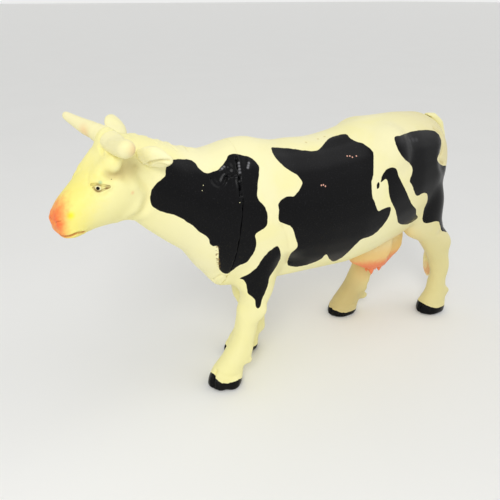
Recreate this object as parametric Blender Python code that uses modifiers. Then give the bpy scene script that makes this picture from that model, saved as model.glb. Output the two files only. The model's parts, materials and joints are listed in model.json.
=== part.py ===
"""Toy cow figure of hollow soft vinyl: body, plug-in head, horns, ears, udder and tail.

The cow faces -X and its left side is -Y. The floor is z = 0 and the origin lies on it,
under the middle of the figure. All lengths are in metres.
"""
import math

import bmesh
import bpy
from mathutils import Matrix, Vector

# Overall sizes
WITHERS_HEIGHT = 0.150
TRUNK_LENGTH = 0.178
TRUNK_WIDTH = 0.062
NECK_LENGTH = 0.047
NECK_BEND = 0.003
SEAM_AHEAD = 0.0466
MEDIAN_SIDE = 0.0018
SEAM_LEAN = math.radians(7.5)

# Head, measured from the middle of its back, where it joins the neck
HEAD_BACK_SIDE = 0.0020
HEAD_LENGTH = 0.0463
HEAD_DEPTH = 0.045
HEAD_WIDTH = 0.030
HEAD_TURN = math.radians(16)
HEAD_ROLL = math.radians(5)
POLL_HEIGHT = 0.0205
POLL_AHEAD = 0.0110
POLL_SIZE = 0.0085
BROW_HEIGHT = 0.0122
BROW_AHEAD = 0.0150
BROW_SIDE = 0.0092
BROW_SIZE = 0.0044
CHEEK_DROP = 0.0080
CHEEK_AHEAD = 0.0065
CHEEK_SIDE = 0.0036
CHEEK_SIZE = 0.0115

# Legs
CANNON_DEPTH = 0.0170
CANNON_WIDTH = 0.0148
HOCK_SET_BACK = 0.0060
LEFT_PASTERN_SET_BACK = 0.0028
RIGHT_PASTERN_SET_BACK = 0.0085
SHOULDER_SIDE = 0.0150
HIP_SIDE = 0.0140
FRONT_HOOF_SIDE = 0.0127
HIND_HOOF_SIDE = 0.0158
FRONT_DEWCLAW_BEHIND = 0.0130
LEFT_HIND_DEWCLAW_BEHIND = 0.0092
RIGHT_HIND_DEWCLAW_BEHIND = 0.0162
DEWCLAW_SIDE = 0.0040
DEWCLAW_HEIGHT = 0.0155
RIGHT_HIND_DEWCLAW_HEIGHT = 0.0120
DEWCLAW_SIZE = 0.0034
HIP_BONE_SIDE = 0.0098
HIP_BONE_SIZE = 0.0200

# Vinyl skin
SKIN_VOXEL = 0.0022
HEAD_VOXEL = 0.0014
SMALL_VOXEL = 0.0011
WALL = 0.0030
CLEARANCE = 0.0003
OVERRUN = 0.0200

# Neck plug and its socket
SEAM_GAP = 0.0004
PLUG_RADIUS = 0.0172
PLUG_WALL = 0.0028
BEAD_RISE = 0.0014
BEAD_LENGTH = 0.0040

# Horns
RIGHT_HORN_LENGTH = 0.0265
LEFT_HORN_LENGTH = 0.0225
HORN_BASE_RADIUS = 0.0052
RIGHT_HORN_TIP_RADIUS = 0.0022
LEFT_HORN_TIP_RADIUS = 0.0043
HORN_SIDE = 0.0050
RIGHT_HORN_AHEAD = 0.0115
LEFT_HORN_AHEAD = 0.0135
HORN_HEIGHT = 0.0213
HORN_PEG_DROP = 0.0018
RIGHT_HORN_SWEEP = math.radians(12)
LEFT_HORN_SWEEP = math.radians(15)
HORN_CURVE = 0.0025
RIGHT_HORN_RISE = math.radians(5)
LEFT_HORN_RISE = math.radians(2)

# Ears
EAR_LENGTH = 0.0190
EAR_DEPTH = 0.0118
EAR_THICKNESS = 0.0050
EAR_SIDE = 0.0085
RIGHT_EAR_AHEAD = 0.0010
LEFT_EAR_AHEAD = 0.0035
RIGHT_EAR_HEIGHT = 0.0165
LEFT_EAR_HEIGHT = 0.0140
EAR_SWEEP = math.radians(-22)
RIGHT_EAR_RISE = math.radians(22)
LEFT_EAR_RISE = math.radians(3)
RIGHT_EAR_TILT = math.radians(15)
LEFT_EAR_TILT = math.radians(62)

# Pegs of the horns, ears, udder and tail
PEG_RADIUS = 0.0017
PEG_DEPTH = 0.0020
UDDER_PEG_RADIUS = 0.0045
UDDER_PEG_DEPTH = 0.0130
TAIL_PEG_DEPTH = 0.0060
TAIL_PEG_SLOPE = math.radians(32)

# Udder
UDDER_LENGTH = 0.0500
UDDER_WIDTH = 0.0230
UDDER_DEPTH = 0.0400
TEAT_LENGTH = 0.0070
TEAT_RADIUS = 0.0022
TEAT_SPREAD = 0.0088
TEAT_SIDE = 0.0052

# Tail
TAIL_RUN = 0.0300
TAIL_THICKNESS = 0.0056
TUFT_THICKNESS = 0.0090

# Heights, as shares of the withers' height
HEAD_BACK_HEIGHT_SHARE = 0.920
LEG_HEIGHT_SHARE = 0.8333
HIP_BONE_HEIGHT_SHARE = 0.8653
PLUG_HEIGHT_SHARE = 0.7167
SEAM_BLOCK_FOOT_SHARE = 0.300
UDDER_HEIGHT_SHARE = 0.4133
TAIL_ROOT_HEIGHT_SHARE = 0.9567
TAIL_TIP_HEIGHT_SHARE = 0.1233

# Place of the head's back ahead of the neck seam, as a share of the neck's length
HEAD_BACK_AHEAD_SHARE = 1.0213

# Places behind the neck seam, as shares of the trunk's length
SHOULDER_SHARE = 0.1258
HIP_SHARE = 0.7719
LEFT_FRONT_HOOF_SHARE = -0.0340
RIGHT_FRONT_HOOF_SHARE = 0.1118
LEFT_HIND_HOOF_SHARE = 0.9601
RIGHT_HIND_HOOF_SHARE = 0.6190
HIP_BONE_SHARE = 0.5899
UDDER_SHARE = 0.6876
TAIL_ROOT_SHARE = 0.8596

# Trunk: top (back, up), bottom (back, up), width and place of the widest level
TRUNK_SHARES = (
    (0.032, 0.998, -0.030, 0.440, 0.79, 0.52),
    (0.096, 0.996, 0.062, 0.403, 0.87, 0.50),
    (0.197, 0.968, 0.157, 0.410, 0.93, 0.48),
    (0.326, 0.970, 0.309, 0.402, 0.98, 0.46),
    (0.466, 0.986, 0.461, 0.390, 1.00, 0.46),
    (0.579, 1.012, 0.590, 0.403, 0.98, 0.50),
    (0.719, 1.012, 0.725, 0.440, 0.92, 0.52),
    (0.815, 1.003, 0.826, 0.507, 0.82, 0.50),
    (0.880, 0.972, 0.895, 0.590, 0.62, 0.46),
    (0.930, 0.915, 0.945, 0.680, 0.38, 0.46),
    (0.955, 0.855, 0.968, 0.760, 0.18, 0.48),
)

# Neck: the same columns, with places ahead of the seam as shares of the neck's length
NECK_SHARES = (
    (1.17, 1.050, 1.13, 0.790, 0.36, 0.50),
    (0.99, 1.062, 0.957, 0.732, 0.45, 0.50),
    (0.76, 1.033, 0.720, 0.663, 0.51, 0.50),
    (0.489, 0.997, 0.530, 0.613, 0.59, 0.50),
    (0.234, 0.977, 0.360, 0.527, 0.69, 0.51),
)

# Head: top (ahead, up), bottom (ahead, up), width and place of the widest level
HEAD_SHARES = (
    (-0.100, 0.420, -0.100, -0.360, 0.74, 0.50),
    (0.080, 0.500, 0.060, -0.450, 0.94, 0.46),
    (0.290, 0.490, 0.270, -0.450, 0.98, 0.50),
    (0.400, 0.370, 0.430, -0.440, 0.94, 0.54),
    (0.515, 0.240, 0.560, -0.440, 0.84, 0.58),
    (0.640, 0.110, 0.670, -0.465, 0.70, 0.56),
    (0.775, -0.005, 0.780, -0.470, 0.62, 0.52),
    (0.880, -0.090, 0.870, -0.430, 0.56, 0.50),
    (0.945, -0.180, 0.935, -0.355, 0.36, 0.50),
)

# Legs: height, run from the hoof to the top, hock bow, depth and width
FRONT_LEG_SHARES = (
    (0.950, 1.00, 0.00, 1.95, 1.15),
    (0.785, 0.93, 0.00, 1.98, 1.42),
    (0.655, 0.86, 0.00, 1.75, 1.45),
    (0.560, 0.76, 0.00, 1.50, 1.32),
    (0.480, 0.72, 0.15, 1.30, 1.20),
    (0.400, 0.57, 0.45, 1.06, 1.08),
    (0.320, 0.43, 0.80, 0.90, 0.98),
    (0.235, 0.30, 1.00, 1.02, 1.02),
    (0.165, 0.19, 0.95, 1.08, 1.10),
    (0.100, 0.05, 0.25, 1.18, 1.12),
    (0.045, 0.00, 0.10, 1.38, 1.14),
    (-0.060, -0.03, 0.00, 1.42, 1.14),
)
LEFT_HIND_LEG_SHARES = (
    (1.000, 1.00, 0.00, 1.90, 1.30),
    (0.840, 0.85, -0.10, 1.98, 1.42),
    (0.704, 0.73, -0.15, 1.78, 1.38),
    (0.592, 0.58, 0.13, 1.60, 1.32),
    (0.496, 0.44, 0.67, 1.36, 1.20),
    (0.416, 0.29, 1.00, 1.24, 1.10),
    (0.336, 0.22, 1.15, 0.86, 0.94),
    (0.256, 0.13, 0.95, 0.78, 0.88),
    (0.176, 0.06, 0.68, 0.84, 0.92),
    (0.100, 0.02, 0.20, 1.08, 1.10),
    (0.045, 0.00, -0.05, 1.42, 1.28),
    (-0.060, -0.01, -0.15, 1.46, 1.30),
)
RIGHT_HIND_LEG_SHARES = (
    (1.000, 1.00, 0.00, 1.90, 1.30),
    (0.840, 0.85, -0.10, 1.98, 1.42),
    (0.704, 0.73, 0.10, 1.78, 1.38),
    (0.592, 0.58, 0.70, 1.60, 1.32),
    (0.496, 0.44, 1.50, 1.36, 1.20),
    (0.416, 0.29, 2.00, 1.24, 1.10),
    (0.336, 0.22, 1.92, 1.03, 1.00),
    (0.256, 0.13, 1.60, 0.97, 0.96),
    (0.176, 0.06, 1.30, 1.06, 1.02),
    (0.100, 0.02, 0.42, 1.18, 1.16),
    (0.045, 0.00, -0.05, 1.42, 1.28),
    (-0.060, -0.01, -0.15, 1.46, 1.30),
)

# Ear: place along it, depth and thickness
EAR_SHARES = (
    (0.00, 0.45, 0.90),
    (0.16, 0.72, 1.00),
    (0.36, 0.96, 1.00),
    (0.58, 1.00, 0.90),
    (0.78, 0.82, 0.75),
    (0.92, 0.52, 0.60),
    (1.00, 0.20, 0.35),
)

# Tail: run behind the root, height from tip to root, and thickness
TAIL_SHARES = (
    (0.000, 1.020, 0.95),
    (0.220, 1.012, 1.10),
    (0.390, 0.975, 1.12),
    (0.540, 0.928, 1.05),
    (0.650, 0.870, 1.00),
    (0.700, 0.780, 0.95),
    (0.705, 0.650, 0.90),
    (0.730, 0.492, 0.86),
    (0.780, 0.332, 0.86),
    (0.835, 0.212, 0.98),
)
TUFT_SHARES = (
    (0.880, 0.140, 0.95),
    (0.910, 0.075, 0.90),
    (0.940, 0.030, 0.60),
    (0.950, 0.000, 0.22),
)

# Counts of sides and steps
RING_SIDES = 24
CAVITY_SIDES = 16
SMALL_SIDES = 12
ROUND_SIDES = 32
BALL_RINGS = 10
TEAT_RINGS = 8
HORN_STEPS = 6
DOME_STEPS = 3
SMOOTHING_STEPS = 5

# Shares of the faces kept, of the wall where it is steep, and how full the sections are
BODY_FACES_SHARE = 0.145
HEAD_FACES_SHARE = 0.150
UDDER_FACES_SHARE = 0.09
STEEP_SHARE = 1.5
DEWCLAW_STRETCH_SHARE = 1.4
TRUNK_FULLNESS_SHARE = 0.94
HEAD_FULLNESS_SHARE = 0.92

IVORY = (0.80, 0.72, 0.46, 1.0)
HORN_IVORY = (0.82, 0.75, 0.52, 1.0)
UDDER_PINK = (0.85, 0.45, 0.28, 1.0)
VINYL_ROUGHNESS = 0.45


def clear_scene():
    for thing in list(bpy.data.objects):
        bpy.data.objects.remove(thing, do_unlink=True)


def new_collection(name):
    collection = bpy.data.collections.new(name)
    bpy.context.scene.collection.children.link(collection)
    return collection


def vinyl(name, colour):
    """A plain vinyl material of one colour."""
    material = bpy.data.materials.new(name)
    material.use_nodes = True
    shader = material.node_tree.nodes["Principled BSDF"]
    shader.inputs["Base Color"].default_value = colour
    shader.inputs["Roughness"].default_value = VINYL_ROUGHNESS
    shader.inputs["Metallic"].default_value = 0.0
    return material


def object_from(bm, name, collection):
    """Turn a bmesh into a linked object."""
    mesh = bpy.data.meshes.new(name)
    bm.to_mesh(mesh)
    bm.free()
    thing = bpy.data.objects.new(name, mesh)
    collection.objects.link(thing)
    return thing


def as_cutter(thing):
    thing.hide_render = True
    thing.display_type = "WIRE"
    return thing


def evaluated_mesh(thing):
    """The object's mesh with its modifiers, as a new mesh."""
    bpy.context.view_layer.update()
    graph = bpy.context.evaluated_depsgraph_get()
    return bpy.data.meshes.new_from_object(thing.evaluated_get(graph))


def ring_edges(verts):
    ring = set(verts)
    return [e for e in {e for v in verts for e in v.link_edges} if set(e.verts) <= ring]


def add_loft(bm, rings, sides):
    """Bridge a row of rings, each a function from a unit circle point to a place."""
    loops = []
    for place in rings:
        verts = bmesh.ops.create_circle(bm, cap_ends=False, segments=sides, radius=1.0)["verts"]
        edges = ring_edges(verts)
        for v in verts:
            v.co = place(v.co.x, v.co.y)
        loops.append(edges)
    for near, far in zip(loops, loops[1:]):
        bmesh.ops.bridge_loops(bm, edges=near + far)
    for end in (loops[0], loops[-1]):
        bmesh.ops.holes_fill(bm, edges=end, sides=0)


def section(top, bottom, half_width, widest, across, fullness):
    """An upright egg-shaped section through two points of the median plane."""
    middle = bottom.lerp(top, widest)

    def place(x, y):
        end = top if y > 0 else bottom
        reach = abs(y) ** fullness
        return middle.lerp(end, reach) + across * (half_width * x)
    return place


def oval(centre, along, up, half_across, half_up):
    """A flat oval ring round a point of a limb."""
    across = along.cross(up).normalized()
    true_up = across.cross(along).normalized()

    def place(x, y):
        return centre + across * (half_across * x) + true_up * (half_up * y)
    return place


def add_ball(bm, centre, size, stretch=(1.0, 1.0, 1.0), rings=BALL_RINGS):
    """A ball, stretched along X, Y and Z."""
    matrix = Matrix.Translation(centre) @ Matrix.Diagonal((*stretch, 1.0))
    bmesh.ops.create_uvsphere(bm, u_segments=CAVITY_SIDES, v_segments=rings, radius=size, matrix=matrix)


def along_trunk(share):
    """Where a share of the trunk's length behind the seam lies."""
    return share * TRUNK_LENGTH - SEAM_AHEAD


def trunk_rings(inset):
    """Sections of the trunk and neck, from the throat to the rump, drawn in by an inset."""
    across = Vector((0.0, 1.0, 0.0))
    rows = [(-a, b, -c, d, e, f, NECK_LENGTH) for a, b, c, d, e, f in NECK_SHARES]
    rows += [(*row, TRUNK_LENGTH) for row in TRUNK_SHARES]
    rings = []
    for top_x, top_z, low_x, low_z, width, widest, run in rows:
        bend = NECK_BEND * min(top_x, 0.0) ** 2 if run == NECK_LENGTH else 0.0
        side = MEDIAN_SIDE - bend
        top = Vector((top_x * run - SEAM_AHEAD, side, top_z * WITHERS_HEIGHT - inset))
        low = Vector((low_x * run - SEAM_AHEAD, side, low_z * WITHERS_HEIGHT + STEEP_SHARE * inset))
        half_width = width * TRUNK_WIDTH / 2 - inset
        rings.append(section(top, low, half_width, widest, across, TRUNK_FULLNESS_SHARE))
    return rings


def head_matrix():
    """The head's own frame: X ahead, Y to its right, Z up."""
    ahead = SEAM_AHEAD + HEAD_BACK_AHEAD_SHARE * NECK_LENGTH
    place = Vector((-ahead, MEDIAN_SIDE - HEAD_BACK_SIDE, HEAD_BACK_HEIGHT_SHARE * WITHERS_HEIGHT))
    face = Matrix.Rotation(math.pi, 4, "Z") @ Matrix.Diagonal((1.0, -1.0, 1.0, 1.0))
    turn = Matrix.Rotation(HEAD_TURN, 4, "Z")
    roll = Matrix.Rotation(HEAD_ROLL, 4, "X")
    return Matrix.Translation(place) @ turn @ face @ roll


def head_rings(inset):
    """Sections of the head from its back to the muzzle, drawn in by an inset."""
    frame = head_matrix()
    across = (frame.to_3x3() @ Vector((0.0, 1.0, 0.0))).normalized()
    rings = []
    for top_x, top_z, low_x, low_z, width, widest in HEAD_SHARES:
        top = Vector((top_x * HEAD_LENGTH, 0.0, top_z * HEAD_DEPTH - STEEP_SHARE * inset))
        low = Vector((low_x * HEAD_LENGTH, 0.0, low_z * HEAD_DEPTH + STEEP_SHARE * inset))
        half_width = width * HEAD_WIDTH / 2 - inset
        rings.append(section(frame @ top, frame @ low, half_width, widest, across, HEAD_FULLNESS_SHARE))
    return rings


def add_leg(bm, shares, hoof, top, side, set_back):
    """One leg from its hoof to the trunk, in level ovals."""
    along = Vector((0.0, 0.0, 1.0))
    up = Vector((1.0, 0.0, 0.0))
    rings = []
    for height, run, bow, depth, width in shares:
        level = hoof.lerp(top, run)
        up_leg = height * LEG_HEIGHT_SHARE * WITHERS_HEIGHT
        centre = Vector((level.x + bow * set_back, MEDIAN_SIDE + side * level.y, up_leg))
        half_across = width * CANNON_WIDTH / 2
        half_up = depth * CANNON_DEPTH / 2
        rings.append(oval(centre, along, up, half_across, half_up))
    add_loft(bm, rings, RING_SIDES)


def add_dewclaws(bm, hoof, side, behind, height):
    """The pair of blunt spurs behind a fetlock."""
    for out in (-DEWCLAW_SIDE, DEWCLAW_SIDE):
        place = Vector((hoof.x + behind, MEDIAN_SIDE + side * (hoof.y + out), height))
        add_ball(bm, place, DEWCLAW_SIZE, (DEWCLAW_STRETCH_SHARE, 1.0, 1.0))


def add_legs(bm):
    shoulder = Vector((along_trunk(SHOULDER_SHARE), SHOULDER_SIDE))
    hip = Vector((along_trunk(HIP_SHARE), HIP_SIDE))
    legs = (
        (FRONT_LEG_SHARES, LEFT_FRONT_HOOF_SHARE, FRONT_HOOF_SIDE, shoulder, -1, LEFT_PASTERN_SET_BACK),
        (FRONT_LEG_SHARES, RIGHT_FRONT_HOOF_SHARE, FRONT_HOOF_SIDE, shoulder, 1, RIGHT_PASTERN_SET_BACK),
        (LEFT_HIND_LEG_SHARES, LEFT_HIND_HOOF_SHARE, HIND_HOOF_SIDE, hip, -1, HOCK_SET_BACK),
        (RIGHT_HIND_LEG_SHARES, RIGHT_HIND_HOOF_SHARE, HIND_HOOF_SIDE, hip, 1, HOCK_SET_BACK),
    )
    spurs = (
        (FRONT_DEWCLAW_BEHIND, DEWCLAW_HEIGHT),
        (FRONT_DEWCLAW_BEHIND, DEWCLAW_HEIGHT),
        (LEFT_HIND_DEWCLAW_BEHIND, DEWCLAW_HEIGHT),
        (RIGHT_HIND_DEWCLAW_BEHIND, RIGHT_HIND_DEWCLAW_HEIGHT),
    )
    for (shares, back, out, top, side, set_back), (behind, height) in zip(legs, spurs):
        hoof = Vector((along_trunk(back), out))
        add_leg(bm, shares, hoof, top, side, set_back)
        add_dewclaws(bm, hoof, side, behind, height)


def add_head_swells(bm):
    """Poll, brows and cheeks."""
    frame = head_matrix()
    add_ball(bm, frame @ Vector((POLL_AHEAD, 0.0, POLL_HEIGHT - POLL_SIZE / 2)), POLL_SIZE)
    for side in (-1, 1):
        brow = Vector((BROW_AHEAD, side * BROW_SIDE, BROW_HEIGHT))
        add_ball(bm, frame @ brow, BROW_SIZE)
        cheek = Vector((CHEEK_AHEAD, side * CHEEK_SIDE, -CHEEK_DROP))
        add_ball(bm, frame @ cheek, CHEEK_SIZE)


def skin(name, add_shapes, voxel, faces_share, collection):
    """Melt overlapping shapes into one smooth skin and thin its faces."""
    bm = bmesh.new()
    add_shapes(bm)
    bmesh.ops.recalc_face_normals(bm, faces=bm.faces)
    thing = object_from(bm, name, collection)
    remesh = thing.modifiers.new("melt", "REMESH")
    remesh.mode = "VOXEL"
    remesh.voxel_size = voxel
    smooth = thing.modifiers.new("smooth", "SMOOTH")
    smooth.iterations = SMOOTHING_STEPS
    thin = thing.modifiers.new("thin", "DECIMATE")
    thin.ratio = faces_share
    mesh = evaluated_mesh(thing)
    bpy.data.objects.remove(thing, do_unlink=True)
    return mesh


def seam_normal():
    """The neck plug's axis, pointing to the head."""
    return Vector((-math.cos(SEAM_LEAN), 0.0, math.sin(SEAM_LEAN)))


def seam_centre():
    """Where the plug's axis crosses the seam."""
    middle_height = WITHERS_HEIGHT * (TRUNK_SHARES[0][1] + TRUNK_SHARES[0][3]) / 2
    height = PLUG_HEIGHT_SHARE * WITHERS_HEIGHT
    rise = height - middle_height
    return Vector((-SEAM_AHEAD + rise * math.tan(SEAM_LEAN), MEDIAN_SIDE, height))


def halve(mesh, point, normal):
    """Cut off what lies on the normal's side of a plane and close the cut."""
    bm = bmesh.new()
    bm.from_mesh(mesh)
    geometry = list(bm.verts) + list(bm.edges) + list(bm.faces)
    cut = bmesh.ops.bisect_plane(bm, geom=geometry, plane_co=point, plane_no=normal, clear_outer=True)
    edges = [e for e in cut["geom_cut"] if isinstance(e, bmesh.types.BMEdge)]
    bmesh.ops.holes_fill(bm, edges=edges, sides=0)
    bmesh.ops.triangulate(bm, faces=[f for f in bm.faces if len(f.verts) > 4])
    bmesh.ops.recalc_face_normals(bm, faces=bm.faces)
    bm.to_mesh(mesh)
    bm.free()


def round_cutter(name, start, direction, radius, length, collection, tip_radius=None):
    """A cylinder or cone from a start point along a direction."""
    turn = direction.to_track_quat("Z", "Y").to_matrix().to_4x4()
    matrix = Matrix.Translation(start + direction * (length / 2)) @ turn
    bm = bmesh.new()
    bmesh.ops.create_cone(bm, cap_ends=True, segments=ROUND_SIDES, radius1=radius,
                          radius2=radius if tip_radius is None else tip_radius,
                          depth=length, matrix=matrix)
    return as_cutter(object_from(bm, name, collection))


def seam_block(collection):
    """A block ahead of the seam, above the hooves, that trims the body to its seam face."""
    ahead = seam_normal()
    up = Vector((math.sin(SEAM_LEAN), 0.0, math.cos(SEAM_LEAN)))
    plug_height = seam_centre().z
    low = (SEAM_BLOCK_FOOT_SHARE * WITHERS_HEIGHT - plug_height) / math.cos(SEAM_LEAN)
    high = (WITHERS_HEIGHT + OVERRUN - plug_height) / math.cos(SEAM_LEAN)
    size = Vector((TRUNK_WIDTH * 2, high - low, NECK_LENGTH * 2))
    turn = ahead.to_track_quat("Z", "Y").to_matrix().to_4x4()
    middle = seam_centre() + up * ((low + high) / 2) + ahead * (size.z / 2 - SEAM_GAP / 2)
    matrix = Matrix.Translation(middle) @ turn @ Matrix.Diagonal((*size, 1.0))
    bm = bmesh.new()
    bmesh.ops.create_cube(bm, size=1.0, matrix=matrix)
    return as_cutter(object_from(bm, "seam_block", collection))


def plug_shape(collection):
    """The turned neck plug: a stem through the body's wall and a bead behind it."""
    axis = seam_normal()
    bead_start = WALL + SEAM_GAP + CLEARANCE
    end = bead_start + BEAD_LENGTH
    bead_radius = PLUG_RADIUS + BEAD_RISE
    profile = (
        (0.0, end),
        (PLUG_RADIUS - BEAD_RISE, end),
        (bead_radius, bead_start + BEAD_LENGTH / 2),
        (bead_radius, bead_start),
        (PLUG_RADIUS, bead_start),
        (PLUG_RADIUS, -WALL),
        (0.0, -WALL),
    )
    bm = bmesh.new()
    verts = [bm.verts.new((radius, 0.0, along)) for radius, along in profile]
    for first, second in zip(verts, verts[1:]):
        bm.edges.new((first, second))
    plug = as_cutter(object_from(bm, "plug_form", collection))
    screw = plug.modifiers.new("turn", "SCREW")
    screw.steps = ROUND_SIDES
    screw.render_steps = ROUND_SIDES
    screw.use_merge_vertices = True
    screw.merge_threshold = CLEARANCE / 10
    turn = (-axis).to_track_quat("Z", "Y").to_matrix().to_4x4()
    plug.matrix_world = Matrix.Translation(seam_centre()) @ turn
    return plug


def add_boolean(thing, cutter, operation):
    modifier = thing.modifiers.new(cutter.name, "BOOLEAN")
    modifier.object = cutter
    modifier.operation = operation
    modifier.solver = "EXACT"


def cavity(name, rings, collection):
    """A smaller loft that hollows a moulding."""
    bm = bmesh.new()
    add_loft(bm, rings, CAVITY_SIDES)
    bmesh.ops.recalc_face_normals(bm, faces=bm.faces)
    return as_cutter(object_from(bm, name, collection))


def grown(mesh, name, collection):
    """A skin pushed out by the clearance, to seat other pieces on."""
    thing = bpy.data.objects.new(name, mesh)
    collection.objects.link(thing)
    push = thing.modifiers.new("push", "DISPLACE")
    push.strength = CLEARANCE
    push.mid_level = 0.0
    return as_cutter(thing)


def horn_axis(side, ahead, rise, sweep):
    """Base point and direction of a horn in the head's frame."""
    base = Vector((ahead, side * HORN_SIDE, HORN_HEIGHT))
    level = Vector((math.sin(sweep), side * math.cos(sweep), 0.0))
    return base, level * math.cos(rise) + Vector((0.0, 0.0, math.sin(rise)))


def ear_axis(side, ahead, height, rise):
    """Base point and direction of an ear in the head's frame."""
    base = Vector((ahead, side * EAR_SIDE, height))
    level = Vector((math.sin(EAR_SWEEP), side * math.cos(EAR_SWEEP), 0.0))
    return base, level * math.cos(rise) + Vector((0.0, 0.0, math.sin(rise)))


def horn_levels(length, tip_radius):
    """Distances along a horn, each with its radius: a taper, then a dome."""
    shaft = length - tip_radius
    levels = []
    for step in range(HORN_STEPS + 1):
        share = step / HORN_STEPS
        levels.append((shaft * share, HORN_BASE_RADIUS + (tip_radius - HORN_BASE_RADIUS) * share))
    for step in range(1, DOME_STEPS + 1):
        angle = math.pi / 2 * step / (DOME_STEPS + 0.5)
        levels.append((shaft + tip_radius * math.sin(angle), tip_radius * math.cos(angle)))
    return levels


def add_horn(bm, side, pointing, length, tip_radius):
    """A horn that tapers to a blunt tip and curves a little upwards."""
    frame = head_matrix()
    turn = frame.to_3x3()
    base, direction = horn_axis(side, *pointing)
    along = turn @ direction
    up = turn @ Vector((0.0, 0.0, 1.0))
    rings = []
    for reach, radius in horn_levels(length, tip_radius):
        lift = HORN_CURVE * (reach / length) ** 2
        centre = frame @ base + along * reach + up * lift
        rings.append(oval(centre, along, up, radius, radius))
    add_loft(bm, rings, SMALL_SIDES)


def add_ear(bm, side, pointing, tilt):
    """A leaf-shaped ear, broad in its middle."""
    frame = head_matrix()
    turn = frame.to_3x3()
    base, direction = ear_axis(side, *pointing)
    along = turn @ direction
    up = turn @ Vector((math.cos(tilt), 0.0, math.sin(tilt)))
    rings = []
    for share, depth, thickness in EAR_SHARES:
        centre = frame @ base + along * (EAR_LENGTH * share)
        rings.append(oval(centre, along, up, thickness * EAR_THICKNESS / 2, depth * EAR_DEPTH / 2))
    add_loft(bm, rings, SMALL_SIDES)


def udder_centre():
    return Vector((along_trunk(UDDER_SHARE), MEDIAN_SIDE, UDDER_HEIGHT_SHARE * WITHERS_HEIGHT))


def add_udder(bm):
    """A bag with four teats."""
    centre = udder_centre()
    half_depth = UDDER_DEPTH / 2
    stretch = (UDDER_LENGTH / UDDER_DEPTH, UDDER_WIDTH / UDDER_DEPTH, 1.0)
    add_ball(bm, centre, half_depth, stretch)
    for back in (-TEAT_SPREAD / 2, TEAT_SPREAD / 2):
        for side in (-TEAT_SIDE / 2, TEAT_SIDE / 2):
            place = centre + Vector((back, side, -half_depth))
            add_ball(bm, place, TEAT_RADIUS, (1.0, 1.0, TEAT_LENGTH / TEAT_RADIUS), TEAT_RINGS)


def tail_points():
    """Middle points of the tail, each with its thickness."""
    root = along_trunk(TAIL_ROOT_SHARE)
    tip_height = TAIL_TIP_HEIGHT_SHARE * WITHERS_HEIGHT
    run = TAIL_ROOT_HEIGHT_SHARE * WITHERS_HEIGHT - tip_height
    rows = [(*row, TAIL_THICKNESS) for row in TAIL_SHARES] + [(*row, TUFT_THICKNESS) for row in TUFT_SHARES]
    return [(Vector((root + back * TAIL_RUN, MEDIAN_SIDE, tip_height + up * run)), thickness * size)
            for back, up, thickness, size in rows]


def add_tail(bm):
    """A tail that follows the rump, hangs, and ends in a tuft."""
    points = tail_points()
    side = Vector((0.0, 1.0, 0.0))
    rings = []
    for index, (centre, thickness) in enumerate(points):
        before = points[max(index - 1, 0)][0]
        after = points[min(index + 1, len(points) - 1)][0]
        along = (after - before).normalized()
        rings.append(oval(centre, along, side, thickness / 2, thickness / 2))
    add_loft(bm, rings, SMALL_SIDES)


def shaped(name, add_shape, collection):
    """An object from shapes that need no melting."""
    bm = bmesh.new()
    add_shape(bm)
    bmesh.ops.recalc_face_normals(bm, faces=bm.faces)
    return object_from(bm, name, collection)


def seat_with_peg(piece, seat, shell, start, direction, radius, reach, depth, cutters):
    """Cut a piece to the skin it sits on, give it a peg, and give the shell the peg's hole."""
    add_boolean(piece, seat, "DIFFERENCE")
    inner = start - direction * depth
    peg = round_cutter(piece.name + "_peg", inner, direction, radius, depth + reach, cutters)
    add_boolean(piece, peg, "UNION")
    slack = 2 * CLEARANCE
    hole = round_cutter(piece.name + "_hole", inner - direction * slack, direction,
                        radius + CLEARANCE, depth + reach + slack, cutters)
    add_boolean(shell, hole, "DIFFERENCE")


def set_back_from_seam(seam_ring, next_ring):
    """The section one wall away from the seam, on the way to the next section."""
    depth = WALL + SEAM_GAP / 2

    def place(x, y):
        way = next_ring(x, y) - seam_ring(x, y)
        return seam_ring(x, y) + way * (depth / abs(way.dot(seam_normal())))
    return place


def trunk_cavity(cutters):
    """The hollow of the body, behind the wall of the neck socket."""
    rings = trunk_rings(WALL)[len(NECK_SHARES):-1]
    rings[0] = set_back_from_seam(rings[0], rings[1])
    return cavity("body_hollow", rings, cutters)


def neck_cavity(cutters):
    """The hollow of the neck, ahead of the wall that carries the plug."""
    rings = trunk_rings(WALL)[:len(NECK_SHARES) + 1]
    rings[-1] = set_back_from_seam(rings[-1], rings[-2])
    return cavity("neck_hollow", rings, cutters)


def make_body(parts, cutters):
    """Trunk and legs in one hollow skin, cut flat at the seam and at the soles."""
    def add_shapes(bm):
        add_loft(bm, trunk_rings(0.0), RING_SIDES)
        add_legs(bm)
        for side in (-1, 1):
            bone = Vector((along_trunk(HIP_BONE_SHARE), MEDIAN_SIDE + side * HIP_BONE_SIDE,
                           HIP_BONE_HEIGHT_SHARE * WITHERS_HEIGHT))
            add_ball(bm, bone, HIP_BONE_SIZE)
    mesh = skin("body_skin", add_shapes, SKIN_VOXEL, BODY_FACES_SHARE, cutters)
    seat = grown(mesh.copy(), "body_seat", cutters)
    halve(mesh, Vector((0.0, 0.0, 0.0)), Vector((0.0, 0.0, -1.0)))
    body = bpy.data.objects.new("body_shell", mesh)
    parts.objects.link(body)
    mesh.materials.append(vinyl("body_vinyl", IVORY))
    add_boolean(body, seam_block(cutters), "DIFFERENCE")
    add_boolean(body, trunk_cavity(cutters), "DIFFERENCE")
    hole_start = seam_centre() + seam_normal() * OVERRUN
    socket = round_cutter("neck_socket", hole_start, -seam_normal(), PLUG_RADIUS + CLEARANCE,
                          OVERRUN + 2 * WALL, cutters)
    add_boolean(body, socket, "DIFFERENCE")
    return body, seat


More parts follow.
